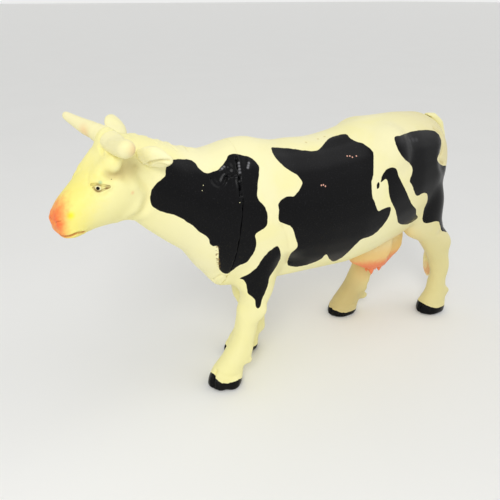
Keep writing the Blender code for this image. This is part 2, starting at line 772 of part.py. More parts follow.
def make_head(parts, cutters):
    """Neck and head in one hollow skin, with the plug that snaps into the body."""
    def add_shapes(bm):
        add_loft(bm, trunk_rings(0.0)[:len(NECK_SHARES) + 3], RING_SIDES)
        add_loft(bm, head_rings(0.0), RING_SIDES)
        add_head_swells(bm)
    mesh = skin("head_skin", add_shapes, HEAD_VOXEL, HEAD_FACES_SHARE, cutters)
    seat = grown(mesh.copy(), "head_seat", cutters)
    halve(mesh, seam_centre() + seam_normal() * (SEAM_GAP / 2), -seam_normal())
    head = bpy.data.objects.new("head_shell", mesh)
    parts.objects.link(head)
    mesh.materials.append(vinyl("head_vinyl", IVORY))
    add_boolean(head, plug_shape(cutters), "UNION")
    add_boolean(head, neck_cavity(cutters), "DIFFERENCE")
    add_boolean(head, cavity("head_hollow", head_rings(WALL)[1:-2], cutters), "DIFFERENCE")
    bore_start = seam_centre() + seam_normal() * (2 * WALL)
    bore = round_cutter("plug_bore", bore_start, -seam_normal(), PLUG_RADIUS - PLUG_WALL,
                        OVERRUN + 2 * WALL, cutters)
    add_boolean(head, bore, "DIFFERENCE")
    return head, seat


def make_horns(head, seat, parts, cutters):
    """Two horns, each with its peg a little below its axis."""
    frame = head_matrix()
    turn = frame.to_3x3()
    drop = Vector((0.0, 0.0, HORN_PEG_DROP))
    sides = (
        ("left_horn", -1, (LEFT_HORN_AHEAD, LEFT_HORN_RISE, LEFT_HORN_SWEEP),
         LEFT_HORN_LENGTH, LEFT_HORN_TIP_RADIUS),
        ("right_horn", 1, (RIGHT_HORN_AHEAD, RIGHT_HORN_RISE, RIGHT_HORN_SWEEP),
         RIGHT_HORN_LENGTH, RIGHT_HORN_TIP_RADIUS),
    )
    horns = []
    for name, side, pointing, length, tip_radius in sides:
        horn = shaped(name, lambda bm: add_horn(bm, side, pointing, length, tip_radius), parts)
        horn.data.materials.append(vinyl(name + "_vinyl", HORN_IVORY))
        base, direction = horn_axis(side, *pointing)
        seat_with_peg(horn, seat, head, frame @ (base - drop), turn @ direction, PEG_RADIUS,
                      length / 2, PEG_DEPTH, cutters)
        horns.append(horn)
    return horns


def make_ears(head, seat, parts, cutters):
    """Two ears, the left one turned flatter than the right one."""
    frame = head_matrix()
    turn = frame.to_3x3()
    sides = (
        ("left_ear", -1, (LEFT_EAR_AHEAD, LEFT_EAR_HEIGHT, LEFT_EAR_RISE), LEFT_EAR_TILT),
        ("right_ear", 1, (RIGHT_EAR_AHEAD, RIGHT_EAR_HEIGHT, RIGHT_EAR_RISE), RIGHT_EAR_TILT),
    )
    ears = []
    for name, side, pointing, tilt in sides:
        ear = shaped(name, lambda bm: add_ear(bm, side, pointing, tilt), parts)
        ear.data.materials.append(vinyl(name + "_vinyl", IVORY))
        base, direction = ear_axis(side, *pointing)
        seat_with_peg(ear, seat, head, frame @ base, turn @ direction, PEG_RADIUS,
                      EAR_LENGTH / 3, PEG_DEPTH, cutters)
        ears.append(ear)
    return ears


def make_udder(body, seat, parts, cutters):
    """The bag, plugged into the belly."""
    mesh = skin("udder_skin", add_udder, SMALL_VOXEL, UDDER_FACES_SHARE, cutters)
    udder = bpy.data.objects.new("udder", mesh)
    parts.objects.link(udder)
    mesh.materials.append(vinyl("udder_vinyl", UDDER_PINK))
    seat_with_peg(udder, seat, body, udder_centre(), Vector((0.0, 0.0, -1.0)), UDDER_PEG_RADIUS,
                  UDDER_DEPTH / 4, UDDER_PEG_DEPTH, cutters)


def make_tail(body, seat, parts, cutters):
    """The tail, pegged into the root of the rump."""
    tail = shaped("tail", add_tail, parts)
    tail.data.materials.append(vinyl("tail_vinyl", IVORY))
    points = tail_points()
    start = points[1][0]
    direction = Vector((math.cos(TAIL_PEG_SLOPE), 0.0, math.sin(TAIL_PEG_SLOPE)))
    seat_with_peg(tail, seat, body, start, direction, PEG_RADIUS, TAIL_THICKNESS / 3,
                  TAIL_PEG_DEPTH, cutters)


def hang_on_neck_pivot(pieces, parts):
    """Parent the head's pieces to an empty on the axis that the head turns about."""
    pivot = bpy.data.objects.new("neck_pivot", None)
    parts.objects.link(pivot)
    turn = seam_normal().to_track_quat("Z", "Y").to_matrix().to_4x4()
    place = Matrix.Translation(seam_centre()) @ turn
    pivot.matrix_world = place
    pivot.empty_display_size = PLUG_RADIUS
    for piece in pieces:
        piece.parent = pivot
        piece.matrix_parent_inverse = place.inverted()


def main():
    clear_scene()
    parts = new_collection("toy_cow")
    cutters = new_collection("cutters")
    body, body_seat = make_body(parts, cutters)
    head, head_seat = make_head(parts, cutters)
    horns = make_horns(head, head_seat, parts, cutters)
    ears = make_ears(head, head_seat, parts, cutters)
    make_udder(body, body_seat, parts, cutters)
    make_tail(body, body_seat, parts, cutters)
    hang_on_neck_pivot([head, *horns, *ears], parts)


main()
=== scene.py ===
"""Toy cow of soft vinyl: its fine skin, its paint and the stage around it.

The cow faces -X and its left side is -Y. The floor is z = 0, and lengths are in metres.
Each moulding starts as a copy of its plain solid, is melted to a fine skin, smoothed, and
then pushed and pulled like clay. Paint edges are distances that the skin carries.
"""
import json
import math

import bmesh
import bpy
import numpy as np
from bpy.props import FloatProperty, FloatVectorProperty, PointerProperty
from mathutils import Matrix, Vector
from mathutils.bvhtree import BVHTree
from mathutils.kdtree import KDTree


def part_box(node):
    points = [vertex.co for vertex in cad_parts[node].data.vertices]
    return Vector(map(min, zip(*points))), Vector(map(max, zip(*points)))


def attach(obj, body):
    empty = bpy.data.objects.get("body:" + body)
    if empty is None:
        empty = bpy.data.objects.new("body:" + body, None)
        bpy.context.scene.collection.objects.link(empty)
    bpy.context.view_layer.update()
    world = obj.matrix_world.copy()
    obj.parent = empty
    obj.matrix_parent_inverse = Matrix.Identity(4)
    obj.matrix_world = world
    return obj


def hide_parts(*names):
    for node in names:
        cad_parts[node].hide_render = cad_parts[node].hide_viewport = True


bl_info = {
    "name": "Toy Cow",
    "version": (1, 0, 0),
    "blender": (4, 5, 0),
    "location": "3D View > Sidebar > Toy Cow",
    "description": "Dresses a toy cow with its fine vinyl skin, its paint and a stage",
    "category": "Object",
}

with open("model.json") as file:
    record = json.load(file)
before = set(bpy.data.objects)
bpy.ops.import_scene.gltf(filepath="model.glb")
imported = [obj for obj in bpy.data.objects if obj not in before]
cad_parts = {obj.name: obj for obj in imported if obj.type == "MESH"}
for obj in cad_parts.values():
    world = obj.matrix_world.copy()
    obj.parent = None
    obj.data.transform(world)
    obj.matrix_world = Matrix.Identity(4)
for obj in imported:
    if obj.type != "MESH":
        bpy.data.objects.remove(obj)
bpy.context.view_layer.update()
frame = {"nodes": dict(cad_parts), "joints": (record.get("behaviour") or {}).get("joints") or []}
NECK_JOINT = frame["joints"][0]
SEAM_POINT = Vector(NECK_JOINT["pos_m"])
SEAM_AHEAD = Vector(NECK_JOINT["axis"]).normalized()
MEDIAN_SIDE = SEAM_POINT.y

# The photograph's view
PHOTO_SIZE = 500
PHOTO_FOCAL = 520
PHOTO_CAMERA = Vector((-0.16753, -0.24086, 0.21725))
PHOTO_TURN = math.radians(-30)
PHOTO_DROP = math.radians(26)
SENSOR_WIDTH = 36.0

# The head's own frame: X ahead, Y to its right, Z up
HEAD_PLACE = Vector((-0.0946, -0.0002, 0.138))
HEAD_TURN = math.radians(16)
HEAD_ROLL = math.radians(5)

# A millimetre, the reach of a weld, and the least square length that is divided by
MM = 0.001
WELD = 0.000001
TINY = 1e-18

# The cut between the body and the neck, in metres, and how its rim is drawn in, in millimetres
SEAM_MARGIN = 0.020
LEG_TOP = 0.045
CUT_RING = 0.002
RIM_WIDTH = 0.45
RIM_DEPTH = 0.14

# Rounds of smoothing after the melt
BODY_ROUNDS = 14
HEAD_ROUNDS = 31
SMALL_ROUNDS = 10
UDDER_ROUNDS = 14

# Depth in the paint, in metres, of what lies far outside it, and how squarely a right side faces
FAR_OUTSIDE = -0.02
RIGHT_FACING = 0.15

# Hooves: where the front ones end, their paint at toe and heel, and the toes' lines in millimetres
LEFT_FRONT_REACH = -0.055
FRONT_END = 0.02
TOE_PAINT = 0.4
HEEL_PAINT = 0.4
TOE_REACH = 0.005
NEAR_HOOF_RISE = 4
TOE_LEVELS = (0.5, 5, 10)
CORONET_LEVEL = 9.5
CORONET_START = -35
CORONET_SWEEP = 250
CORONET_STEPS = 12

# The face: cells halved round the eyes, how the mouth is thinned, and where the muzzle's spray starts
EYE_REGION = 0.0085
MOUTH_STEP = 3
SLIT_FADE = 0.00045
SPRAY_START = 0.0395
SPRAY_SLANT = 0.18
SPRAY_HOLLOW = 22.0
SPRAY_LEVEL = -0.010
SPRAY_MOST = 0.0035
YELLOW_REACH = 0.010

# Coat patches on the left side, as pixel outlines in the photograph
LEFT_PATCHES = {
    "neck": (
        (172, 160), (188, 159.5), (194.6, 162.5), (199, 168.3), (204, 172.3), (208.4, 173), (213, 171.7),
        (218.7, 169), (224.5, 162.5), (227.4, 156.8), (230.2, 154.3), (236, 153.9), (242, 155), (250, 157.4),
        (255.5, 161.4), (259, 167), (259, 175), (257.8, 184.4), (257.2, 194.7), (259, 200.5), (263.6, 205),
        (267, 212), (267.6, 220), (266, 227), (260, 231), (255.3, 235), (256.3, 241.8), (255.5, 248.7),
        (252, 255.6), (246.3, 262.5), (239.4, 265.4), (233.7, 269.4), (228, 273.4), (224, 273.4),
        (220.5, 270.6), (218.7, 266), (218.2, 247.6), (213, 246), (210, 243.6), (209, 239.5), (206, 236),
        (202.6, 233.8), (198.6, 231.5), (195.7, 228), (190, 224), (177, 216), (160, 211), (151, 204),
        (151, 192), (156, 184), (165, 176), (166, 168),
    ),
    "middle": (
        (272, 147.4), (279.7, 147.6), (291, 148.5), (305, 150.5), (315.3, 150.8), (321, 147.6),
        (325.6, 141.8), (329, 138.6), (334.7, 136), (345.5, 134), (350.2, 138), (356.2, 141.5),
        (363, 143.5), (369, 147.5), (372.3, 151), (373.6, 154), (373.4, 174.3), (371.6, 182.4),
        (372.3, 195.8), (374.3, 201), (377, 209), (379, 211), (383, 209), (390.4, 207), (389.7, 214.6),
        (384.3, 224), (373.6, 234.7), (361.6, 239.4), (356.2, 244), (346.8, 253.4), (340, 258.8),
        (333.4, 261.5), (329.4, 258.8), (326, 254.2), (321, 259), (310.7, 263.7), (299.2, 266.6),
        (290, 266), (287.7, 264.8), (287.7, 260.2), (291, 253.3), (297.5, 246.4), (295.7, 238.4),
        (292.3, 228), (286.6, 224.6), (280.8, 222.3), (278.5, 219), (279, 210.8), (278.5, 204),
        (282, 199.3), (287.7, 196.4), (294, 196), (299.2, 190), (302, 184.4), (301.5, 181),
        (297, 175.2), (287.7, 169.4), (280.8, 163.7), (274, 155.6), (271.6, 150),
    ),
    "front_leg": (
        (278, 246.4), (280.2, 251), (280.8, 256.8), (278.5, 262.5), (274, 270.6), (269.3, 277.5),
        (268.2, 284.4), (264.7, 293.6), (261.8, 300.2), (260.5, 306), (258, 308.6), (255.6, 306),
        (255, 300.2), (251, 296), (247.5, 292.4), (246.3, 284.4), (243.4, 279.8), (239.4, 278.4),
        (247.5, 274.6), (253.2, 270.6), (257.8, 266), (261.3, 260.2), (268.2, 252.2), (275, 247),
    ),
    "rump": (
        (394.4, 137.5), (400.4, 135.5), (405.8, 133.5), (412.5, 131.4), (422, 130), (434, 130.8),
        (439.3, 135.5), (441.3, 142.2), (440, 151.6), (437.3, 159.6), (442.7, 165.6), (458, 170),
        (458, 226), (443.2, 231.4), (440, 225.3), (438, 221.3), (431.3, 222.3), (426, 223.3),
        (422.5, 220), (424, 209.2), (427.2, 201.2), (427.2, 194.5), (423.2, 193), (416.5, 195.8),
        (412.5, 186.4), (409.8, 181), (411.8, 174.3), (412.5, 169), (409.8, 163.6), (403.8, 158.3),
        (397.7, 149),
    ),
    "thigh": (
        (381, 182.4), (381.7, 177), (385.7, 170.3), (391, 167.4), (396.4, 169), (399, 177),
        (405.8, 190.4), (411, 202.5), (413.8, 206.5), (416, 209.5), (416.2, 214.5), (418, 216.6),
        (416, 219.5), (408.5, 224), (403, 224.6), (398.4, 223), (397, 217), (395, 209), (391, 201),
        (389, 193), (388.4, 185), (386.4, 179.2), (383.5, 180.4),
    ),
    "thigh_spot": ((378.2, 182.2), (379.6, 184), (378.8, 188.6), (377, 188.8), (376.8, 185)),
}

# Small moves that fit a skin: pixel, reach, then how far right, down and nearer, in millimetres
NECK_MOVES = (
    ((241, 138), 13, 0, -0.7, 0),
    ((216, 145), 12, 0, 1.2, 0),
    ((217, 281), 12, -0.3, 1.6, 0),
)
BODY_MOVES = (
    ((222, 352), 14, 0.9, 0, 0),
    ((231, 338), 12, 2.2, 0, 0),
    ((240, 300), 11, 1.8, 0, 0),
    ((236, 322), 9, 1.0, 0, 0),
    ((256, 313), 10, 4.2, 0, 0),
    ((251, 350), 7, 1.0, 0, 0),
    ((212, 385), 7, 2.6, -0.8, 0),
    ((425, 270), 9, 1.0, 0, 0),
    ((422, 288), 9, 1.0, 0, 0),
    ((448, 238), 12, 3.2, 0, 0),
    ((445, 268), 12, 1.8, 0, 0),
    ((444, 158), 12, -2.6, 0, 0),
    ((440, 203), 17, 2.2, 0, 0),
    ((411, 230), 13, -4.2, 2.4, 0),
    ((360, 284), 9, 3.2, 0, 0),
    ((362, 289), 6, 2.4, 0, 0),
    ((367, 276), 9, 2.2, 0, 0),
    ((364, 294), 6, 0.4, 1.6, 0),
    ((237, 384), 8, 0.4, 1.2, 2.2),
    ((286, 268), 16, 0, -4.0, 0),
    ((322, 132), 26, 0, 1.7, 0),
)
HEAD_MOVES = (
    ((113, 132), 6.5, 0, 0.2, 2.4),
    ((122, 134), 6.5, 0, 0.8, 2.8),
    ((106, 131), 6, 0, -1.8, 0),
    ((99, 133), 6, -0.8, -0.8, 0),
    ((84, 147), 8, 3.2, 0.8, 0),
    ((79, 160), 8, 1.6, 0.2, 0),
    ((64, 193), 12, -0.5, -0.2, 0),
    ((50, 212), 9, 0.7, 0, 0),
    ((72, 234), 9, 0, 1.1, 0),
)
HORN_MOVES = {
    "left_horn": (((108, 134), 7, 0.5, 1.8, 0), ((120, 136), 7, 0, 1.2, 0)),
    "right_horn": (((86, 133), 6, 0.3, -1.0, 0), ((97, 131), 8, 2.0, 0.2, 0)),
}
UDDER_MOVES = (
    ((402, 240), 14, -5.5, -0.6, 0),
    ((396, 254), 12, -4.2, -0.8, 0),
    ((356, 261), 8, -2.6, 0.2, 0),
    ((365, 272), 6, 0, -2.4, 0),
    ((372, 274), 6, -0.4, -1.6, 0),
    ((380, 272), 7, -1.4, -3.0, 0),
)
TAIL_MOVES = (((441, 122), 8, 1.0, 0, 0), ((445, 150), 12, -1.8, 0, 0), ((444, 163), 10, -3.0, 0, 0))

# Moves of the far front leg: pixel, reach and how far ahead, and its level beside the cow's middle
FAR_LEG_MOVES = (((231, 291), 15, 3.5), ((234, 303), 13, 4.0), ((229, 347), 11, 2.2))
FAR_LEG_SIDE = 0.0135

# Pixels of the near front hoof's black paint, and of the fringe of brush strokes on the neck's patch
NEAR_HOOF = (
    (204, 369), (210.2, 372), (215, 375.2), (216.2, 378.8), (221, 382.4), (226, 383.3), (234.4, 381.8),
    (241, 378.2), (247, 376), (247, 396), (204, 396),
)
FRINGE = ((217.8, 247), (217.4, 254), (217.8, 260), (218.8, 267))

# Marks of the face on its left side, as pixels of the photograph; the right side mirrors them
PUPIL = (98.0, 188.3)
BROW_RIDGE = ((118.5, 165), (112, 162.5), (105.5, 164.5), (100.5, 169), (98.5, 174.5))
BROW_SHADOW = ((127, 171), (119, 175), (111, 175.8), (106, 173.6))
BROW_KNOB = (112.5, 162.5)
# Painted shade under the brows and in the pits behind them: pixels and radius in millimetres
BROW_SHADES = (((127, 168), 5.0), ((118, 174), 2.6), ((110.5, 174), 2.2))
BROW_PIT = (127, 168)
PIT_FOOT = (131, 178)
CHEEK = (124, 200)
MARK_SPECK = (111.4, 179.3)
GREEN_SPECK = (100.2, 182.6)
CHEEK_CHIP = (132.7, 192.8)
MUZZLE_SPOT = (70.5, 215.5)
NOSTRIL = (57.8, 221.8)
FORELOCK_PIT = (102.3, 149.5)
UPPER_LID = ((91, 184.6), (95.4, 184.2), (99.5, 184.8), (104, 185.6), (109.5, 186.4))
LOWER_LID = ((93.2, 187.6), (95.5, 190.4), (98.5, 191.6), (102.5, 190.6), (106, 188.6), (109.5, 187.2))
LID_FOLD = ((93.5, 194.6), (96.5, 196.3), (101, 196.9), (105, 195.7), (109, 192.6))
CHEEK_FOLD = ((88, 174), (87.2, 179), (88, 184))
NOSTRIL_LINE = ((54.8, 223.6), (57.6, 221.6), (60.8, 221.0))
MOUTH = ((60, 234.6), (63, 235.8), (66.5, 236.2), (70, 235.8), (76.5, 233.2), (84, 231.8))
JAW = (
    (136, 167), (141.5, 179), (146.5, 188), (148.6, 195), (147, 203), (143, 211), (135.5, 217),
    (127, 220.6),
)
FORELOCK = ((99.3, 146.6), (101.2, 151), (103.6, 155.4))
POLL_RIDGES = (
    ((103.5, 130.6), (112, 128.2), (121, 128), (129.5, 130.4)),
    ((101.5, 133.8), (110, 131.2), (120, 130.8), (129.5, 133)),
    ((100.4, 137), (109, 134.4), (119, 134), (128, 136)),
)
MANE_CREASES = (
    ((137.5, 132), (142, 136)),
    ((148.5, 137.6), (152.5, 140), (156.5, 143)),
    ((159, 140), (162.5, 143.5)),
    ((167.5, 143.4), (172, 146), (177, 150.5)),
    ((185, 147), (188.5, 151)),
)
MANE_TUFTS = ((134, 130.4), (144.5, 135), (158, 140.4), (166.5, 142.6), (181, 146.4), (192, 148.6))

# Marks of the ears and the horns, as pixels of the photograph
LEFT_EAR_LOBE = ((149, 153.5), (157, 154))
LEFT_EAR_EDGE = ((147, 165), (151, 161.6), (157, 160), (163, 160), (168.5, 161))
LEFT_EAR_HOLLOW = (158.5, 162.6)
LEFT_EAR_ROOT = (140.5, 161)
RIGHT_EAR_HOLLOW = (112.5, 123)
# Painted orange shade on the shaded edge of each horn's tip
HORN_TIP_SHADES = ((134.6, 150), (84, 131))

# The horns' root in the head's own frame, how deep it is set, and its rings, in metres
HORN_ROOT_AHEAD = 0.0125
HORN_ROOT_HEIGHT = 0.0205
HORN_SET = 0.0027
HORN_SET_REACH = 0.0145
HORN_RINGS = (0.0085, 0.0105, 0.0128)
HORN_RING_WIDTH = 0.6 * MM
HORN_RING_DEPTH = 0.15 * MM

# The tail's tuft: its locks, and the orange tint on one side of it, in metres
TUFT_LENGTH = 0.026
TUFT_LOCKS = 9
LOCK_STEPS = 4
LOCK_SWIRL = 0.8
LOCK_OUT = 0.01
TUFT_BLUSH = 0.0022
TUFT_BLUSH_LEVELS = (-0.25, 0.0, 0.25, 0.5)

# Where the wide tints start: heights above the udder's foot and the floor, and places along the cow
UDDER_WARM = 0.030
UDDER_DEEP = 0.0165
LEG_WARM = 0.062
# Where the painted shade on the rear starts, along the cow
HIND_SHADE = 0.082
HEAD_YELLOW = -0.088

# Marks of the neck and of the body's left side, as pixels of the photograph
NECK_DENT = (218, 180.5)
NECK_DENT_RIM = ((211.8, 178.2), (214.5, 182.8), (218.5, 185.6), (222, 185.2), (224.5, 181), (226.8, 176.6))
NECK_DENT_LIP = ((228.5, 175.8), (232, 175.2), (236, 175.2))
NECK_GROOVE = ((236.4, 158), (237.4, 166), (238.8, 174), (240, 186), (240.6, 196))
NECK_BULGES = ((223, 169.6), (229, 166.4), (233.5, 170), (229.5, 179.5), (213, 172.5))
BRISKET_FOLDS = (((213, 280), (217, 277.2), (221.5, 274.6)), ((224.4, 275.6), (229, 277.6), (233.6, 279.4)))
SHOULDER_STREAK = ((247.8, 158.5), (248.6, 164), (247.6, 170))
ELBOW_FOLD = ((282.5, 226), (286.5, 236), (288.6, 248), (287.6, 262))
BACK_DENTS = ((318, 139), (306, 142.5), (324.5, 136.6))
HOCK_DIMPLE = (440.5, 233)
HOCK_MARK = (441.8, 229)
TAIL_NOTCH = (417, 113)
TAIL_GROOVE = ((434, 128), (440.6, 133.5), (443, 142), (442, 151.5), (439.4, 159), (443.6, 163.6))
LEFT_TOE_CLEFT = ((213, 386.5), (213, 381), (214.2, 375.5), (216.4, 370.5))
CORONET = ((218, 371.4), (222, 374.6), (227, 376.6), (233, 376.4), (239.6, 374.4))
PINK_CHIPS = (
    (321.4, 185.3), (323.4, 184.9), (325.4, 186.2), (347.2, 156), (349.8, 156), (352.4, 157.2), (356.4, 156),
)
# Painted highlights on the black of the rump
RUMP_HIGHLIGHTS = ((409.6, 140.6), (413, 139.8), (416.4, 139.6))
# The far hock, where a painted shadow lies, and its level beside the cow's middle
FAR_HOCK = (336, 294)
FAR_HOCK_SIDE = 0.016
DEWCLAW_TIP = (251.5, 361)
DEWCLAW_UNDER = (245.5, 366.6)
# Painted highlights on the wrinkles of the black paint, on the neck and at the shoulder
HEAD_GLEAMS = ((238.6, 163), (239, 166), (239.4, 169.2), (239.8, 172.4), (222, 168.4), (224, 166.6))
BODY_GLEAMS = ((248.9, 163), (248.4, 165.4), (247.9, 167.6))
PALE_SPECKS = ((203.3, 185.3), (202.2, 190.6), (239.8, 202.6))

# Grooves of the marks: width, depth and raised lip in millimetres; a depth below nought is a ridge
GROOVES = {
    "toe": (0.9, 1.7, 0.2),
    "coronet": (0.9, 0.3, 0.1),
    "elbow": (2.2, 0.7),
    "shoulder": (0.7, -0.3),
    "tail": (1.2, 0.9, 0.2),
    "upper_lid": (0.5, 0.55, 0.3),
    "lower_lid": (0.45, 0.45, 0.12),
    "lid_fold": (1.1, 0.4),
    "brow_ridge": (3.6, -1.7),
    "brow_shadow": (1.6, 1.6),
    "cheek_fold": (0.9, 0.35),
    "jaw": (2.2, 1.4, 0.3),
    "nostril": (0.75, 0.6, 0.15),
    "mouth": (0.6, 0.9, 0.45),
    "poll": (0.7, 0.4, 0.15),
    "mane": (0.6, 0.5, 0.15),
    "forelock": (0.6, 0.5, 0.2),
    "dent_rim": (0.7, 0.8, 0.3),
    "dent_lip": (0.6, 0.5, 0.2),
    "neck": (0.6, 0.8, 0.5),
    "brisket": (0.8, 0.5, 0.2),
    "ear_edge": (0.8, 0.9, 0.4),
    "udder": (1.6, 0.8),
    "lock": (0.5, 0.4, 0.12),
}

# Bumps of the marks: radius and height in millimetres; a height below nought is a dent
BUMPS = {
    "dewclaw_under": (3.2, -1.2),
    "dewclaw": (3.4, 0.9),
    "back": (2.2, -0.3),
    "hock": (4.5, -0.8),
    "hock_mark": (1.2, -0.5),
    "tail_notch": (2.0, -0.5),
    "socket": (5.0, -0.5),
    "eyeball": (2.3, 0.75),
    "left_brow": (7.5, 1.6),
    "right_brow": (7.5, 0.5),
    "brow_pit": (8.0, -3.4),
    "pit_foot": (6.0, -1.0),
    "cheek": (13.0, 0.7),
    "nostril": (4.0, 0.5),
    "mane": (3.2, 0.55),
    "forelock": (1.8, -1.2),
    "neck_dent": (6.0, -1.1),
    "neck_bulge": (2.4, 0.7),
    "ear_lobe": (6.5, 1.0),
    "ear_root": (3.5, 0.5),
    "left_ear_hollow": (4.5, -0.7),
    "right_ear_hollow": (5.0, -0.6),
}

# Spots of paint at marks: their pixels, radius and softness in millimetres, colour and strength
BODY_SPOTS = ((BACK_DENTS, 0.6, 0.5, "ochre", 0.5), ((HOCK_MARK,), 0.8, 0.4, "black", 1.0))
# The coat's first two rows of spots are painted highlights on the black; the last are chips
COAT_SPOTS = (
    (BODY_GLEAMS, 0.55, 0.5, "gleam", 0.5),
    (RUMP_HIGHLIGHTS, 1.2, 1.0, "dust_and_sheen", 0.7),
    (PINK_CHIPS, 0.42, 0.2, "chip", 0.9),
)
MUZZLE_SPOTS = (((MUZZLE_SPOT,), 1.5, 1.3, "lemon", 0.85),)
FACE_SPOTS = (
    ((MARK_SPECK,), 0.25, 0.1, "black", 0.8),
    ((GREEN_SPECK,), 0.8, 0.7, "green", 0.55),
    ((CHEEK_CHIP,), 0.8, 0.7, "orange", 0.25),
)
# Painted highlights on the wrinkles of the neck's black
NECK_GLEAM_SPOTS = ((HEAD_GLEAMS, 0.55, 0.5, "gleam", 0.5),)
NECK_PALE_SPOTS = ((PALE_SPECKS, 0.2, 0.08, "cream", 1.0),)
# Painted shade at the horns' tips: radius and softness in millimetres, colour and strength
HORN_TIP_SHADE = (2.6, 2.4, "orange", 0.22)

# Round sprays at other places, and the painted shadow on the far hock: radius and softness in metres, colour
# and strength
FAR_HOCK_SHADOW = (0.023, 0.014, "tan", 0.75)
BELLY_SPRAY = (0.025, 0.012, "apricot", 0.55)
TUFT_SPRAY = (0.0056, 0.0018, "pink", 0.5)

# Wide tints, the body's second one painted shade on the rear: axis, level, way and softness in metres, colour
# and strength
BODY_TINTS = (("Z", LEG_WARM, -1.0, 0.03, "straw", 0.6), ("X", HIND_SHADE, 1.0, 0.035, "tan", 0.33))
HEAD_TINTS = (("X", HEAD_YELLOW, -1.0, 0.03, "straw", 0.75),)
UDDER_TINTS = (("Z", UDDER_WARM, -1.0, 0.009, "apricot", 0.75), ("Z", UDDER_DEEP, -1.0, 0.0045, "pink", 1.0))

# Eyes: radius and softness as shares of the pupil's radius, colour and strength
EYE_LAYERS = ((2.4, 0.9, "lid", 0.3), (1.6, 0.25, "horn", 0.8))
PUPIL_SOFTNESS = 0.12
# Painted shade at the brows: softness as a share of each spot's radius, and strength
BROW_SOFTNESS = 0.9
BROW_STRENGTH = 0.5

# Painted lines: width in metres, colour and strength
MOUTH_LINE = (0.0011, "lip", 0.95)
LID_LINE = (0.00075, "lid", 1.0)

# Edges of paint: waver and softness in metres
PAINT_WAVER = 0.0003
PAINT_SOFTNESS = 0.00015
HOOF_WAVER = 0.0006
TINT_WAVER = 0.002
YELLOW_WAVER = 0.003
YELLOW_SOFTNESS = 0.009
YELLOW_STRENGTH = 0.7
ORANGE_WAVER = 0.0015
ORANGE_SOFTNESS = 0.0032

# The vinyl's shine, roughness and grain, and how finely its noises are scaled
VINYL_SHINE = 0.13
VINYL_ROUGHNESS = (0.36, 0.46)
COAT_ROUGHNESS = 0.27
HOOF_ROUGHNESS = 0.24
PUPIL_ROUGHNESS = 0.2
MOTTLE_SHARE = 0.55
MOTTLE_RANGE = (0.35, 0.75)
MOTTLE_SWIRL = 0.6
GRAIN_HEIGHT = 0.00006
GRAIN_STRENGTH = 0.6
GRAIN_RANGE = (0.2, 0.8)
COARSE_SHARE = 0.7
FINE_SHARE = 0.3
RICH_DETAIL = 3.0
COARSE_SCALE = 260.0
FINE_SCALE = 1500.0
MOTTLE_SCALE = 38.0
WAVER_SCALE = 420.0

# Painted shade in hollows of a depth in metres, dusty specks on the black, and the fringe's strokes
HOLLOW_SHADE_RANGE = (0.00003, 0.00022)
HOLLOW_SHADE_STRENGTH = 0.35
DUST_RANGE = (0.58, 0.76)
DUST_STRENGTH = 0.3
STROKE_SCALE = 900.0
STROKE_STRETCH = (0.35, 0.35, 1.6)
STROKE_RANGE = (0.50, 0.58)
FRINGE_RANGE = (0.0005, 0.0013)
FRINGE_STRENGTH = 0.85

# The stage: the way to the wide lamp, as above, right and behind, the camera, and the floor's shade
SIDE_WAY = (0.8, 0.8, 0.15)
CLIP_START = 0.01
FLOOR_SCALE = 9.0
FLOOR_SHADE = 0.97
FLOOR_ROUGHNESS = 0.6

# Coat patches on the right side: shares of the body's length and height, seen from that side
RIGHT_PATCHES = {
    "neck": (
        (-0.20, 0.80), (-0.12, 0.88), (-0.02, 0.83), (0.08, 0.86), (0.17, 0.81), (0.175, 0.71),
        (0.20, 0.61), (0.13, 0.51), (0.03, 0.50), (-0.05, 0.59), (-0.11, 0.67), (-0.18, 0.72),
    ),
    "middle": (
        (0.28, 0.89), (0.37, 0.91), (0.44, 0.87), (0.52, 0.90), (0.60, 0.84), (0.57, 0.74),
        (0.62, 0.64), (0.55, 0.55), (0.46, 0.58), (0.40, 0.48), (0.31, 0.46), (0.29, 0.55),
        (0.25, 0.61), (0.29, 0.71), (0.25, 0.81),
    ),
    "rump": (
        (0.76, 0.90), (0.86, 0.91), (0.94, 0.86), (1.00, 0.80), (1.02, 0.62), (0.95, 0.58),
        (0.91, 0.66), (0.84, 0.64), (0.81, 0.72), (0.74, 0.78),
    ),
    "thigh": (
        (0.70, 0.66), (0.76, 0.68), (0.79, 0.58), (0.84, 0.52), (0.81, 0.45), (0.74, 0.47),
        (0.70, 0.55),
    ),
    "shoulder": ((0.13, 0.44), (0.19, 0.47), (0.23, 0.40), (0.20, 0.33), (0.14, 0.35)),
}


class CowSizes(bpy.types.PropertyGroup):
    """Sizes of the skin's detail."""
    body_cell: FloatProperty(
        name="Body Cell", description="Width of the cells of the body's skin",
        default=0.0009, min=0.0006, unit="LENGTH")
    head_cell: FloatProperty(
        name="Head Cell", description="Width of the cells of the head's skin",
        default=0.0006, min=0.0004, unit="LENGTH")
    small_cell: FloatProperty(
        name="Small Cell", description="Width of the cells of horns, ears, udder and tail",
        default=0.00045, min=0.0003, unit="LENGTH")
    seam_gap: FloatProperty(
        name="Seam Gap", description="Width of the line between the body and the neck",
        default=0.00009, min=0.00005, unit="LENGTH")
    hoof_paint: FloatVectorProperty(
        name="Hoof Paint", size=4, unit="LENGTH",
        description="Height of the black paint on the left front, left hind, right front and right hind hoof",
        default=(0.0052, 0.0060, 0.0046, 0.0040))
    pupil_radius: FloatProperty(
        name="Pupil Radius", description="Radius of the painted pupils",
        default=0.00085, unit="LENGTH")


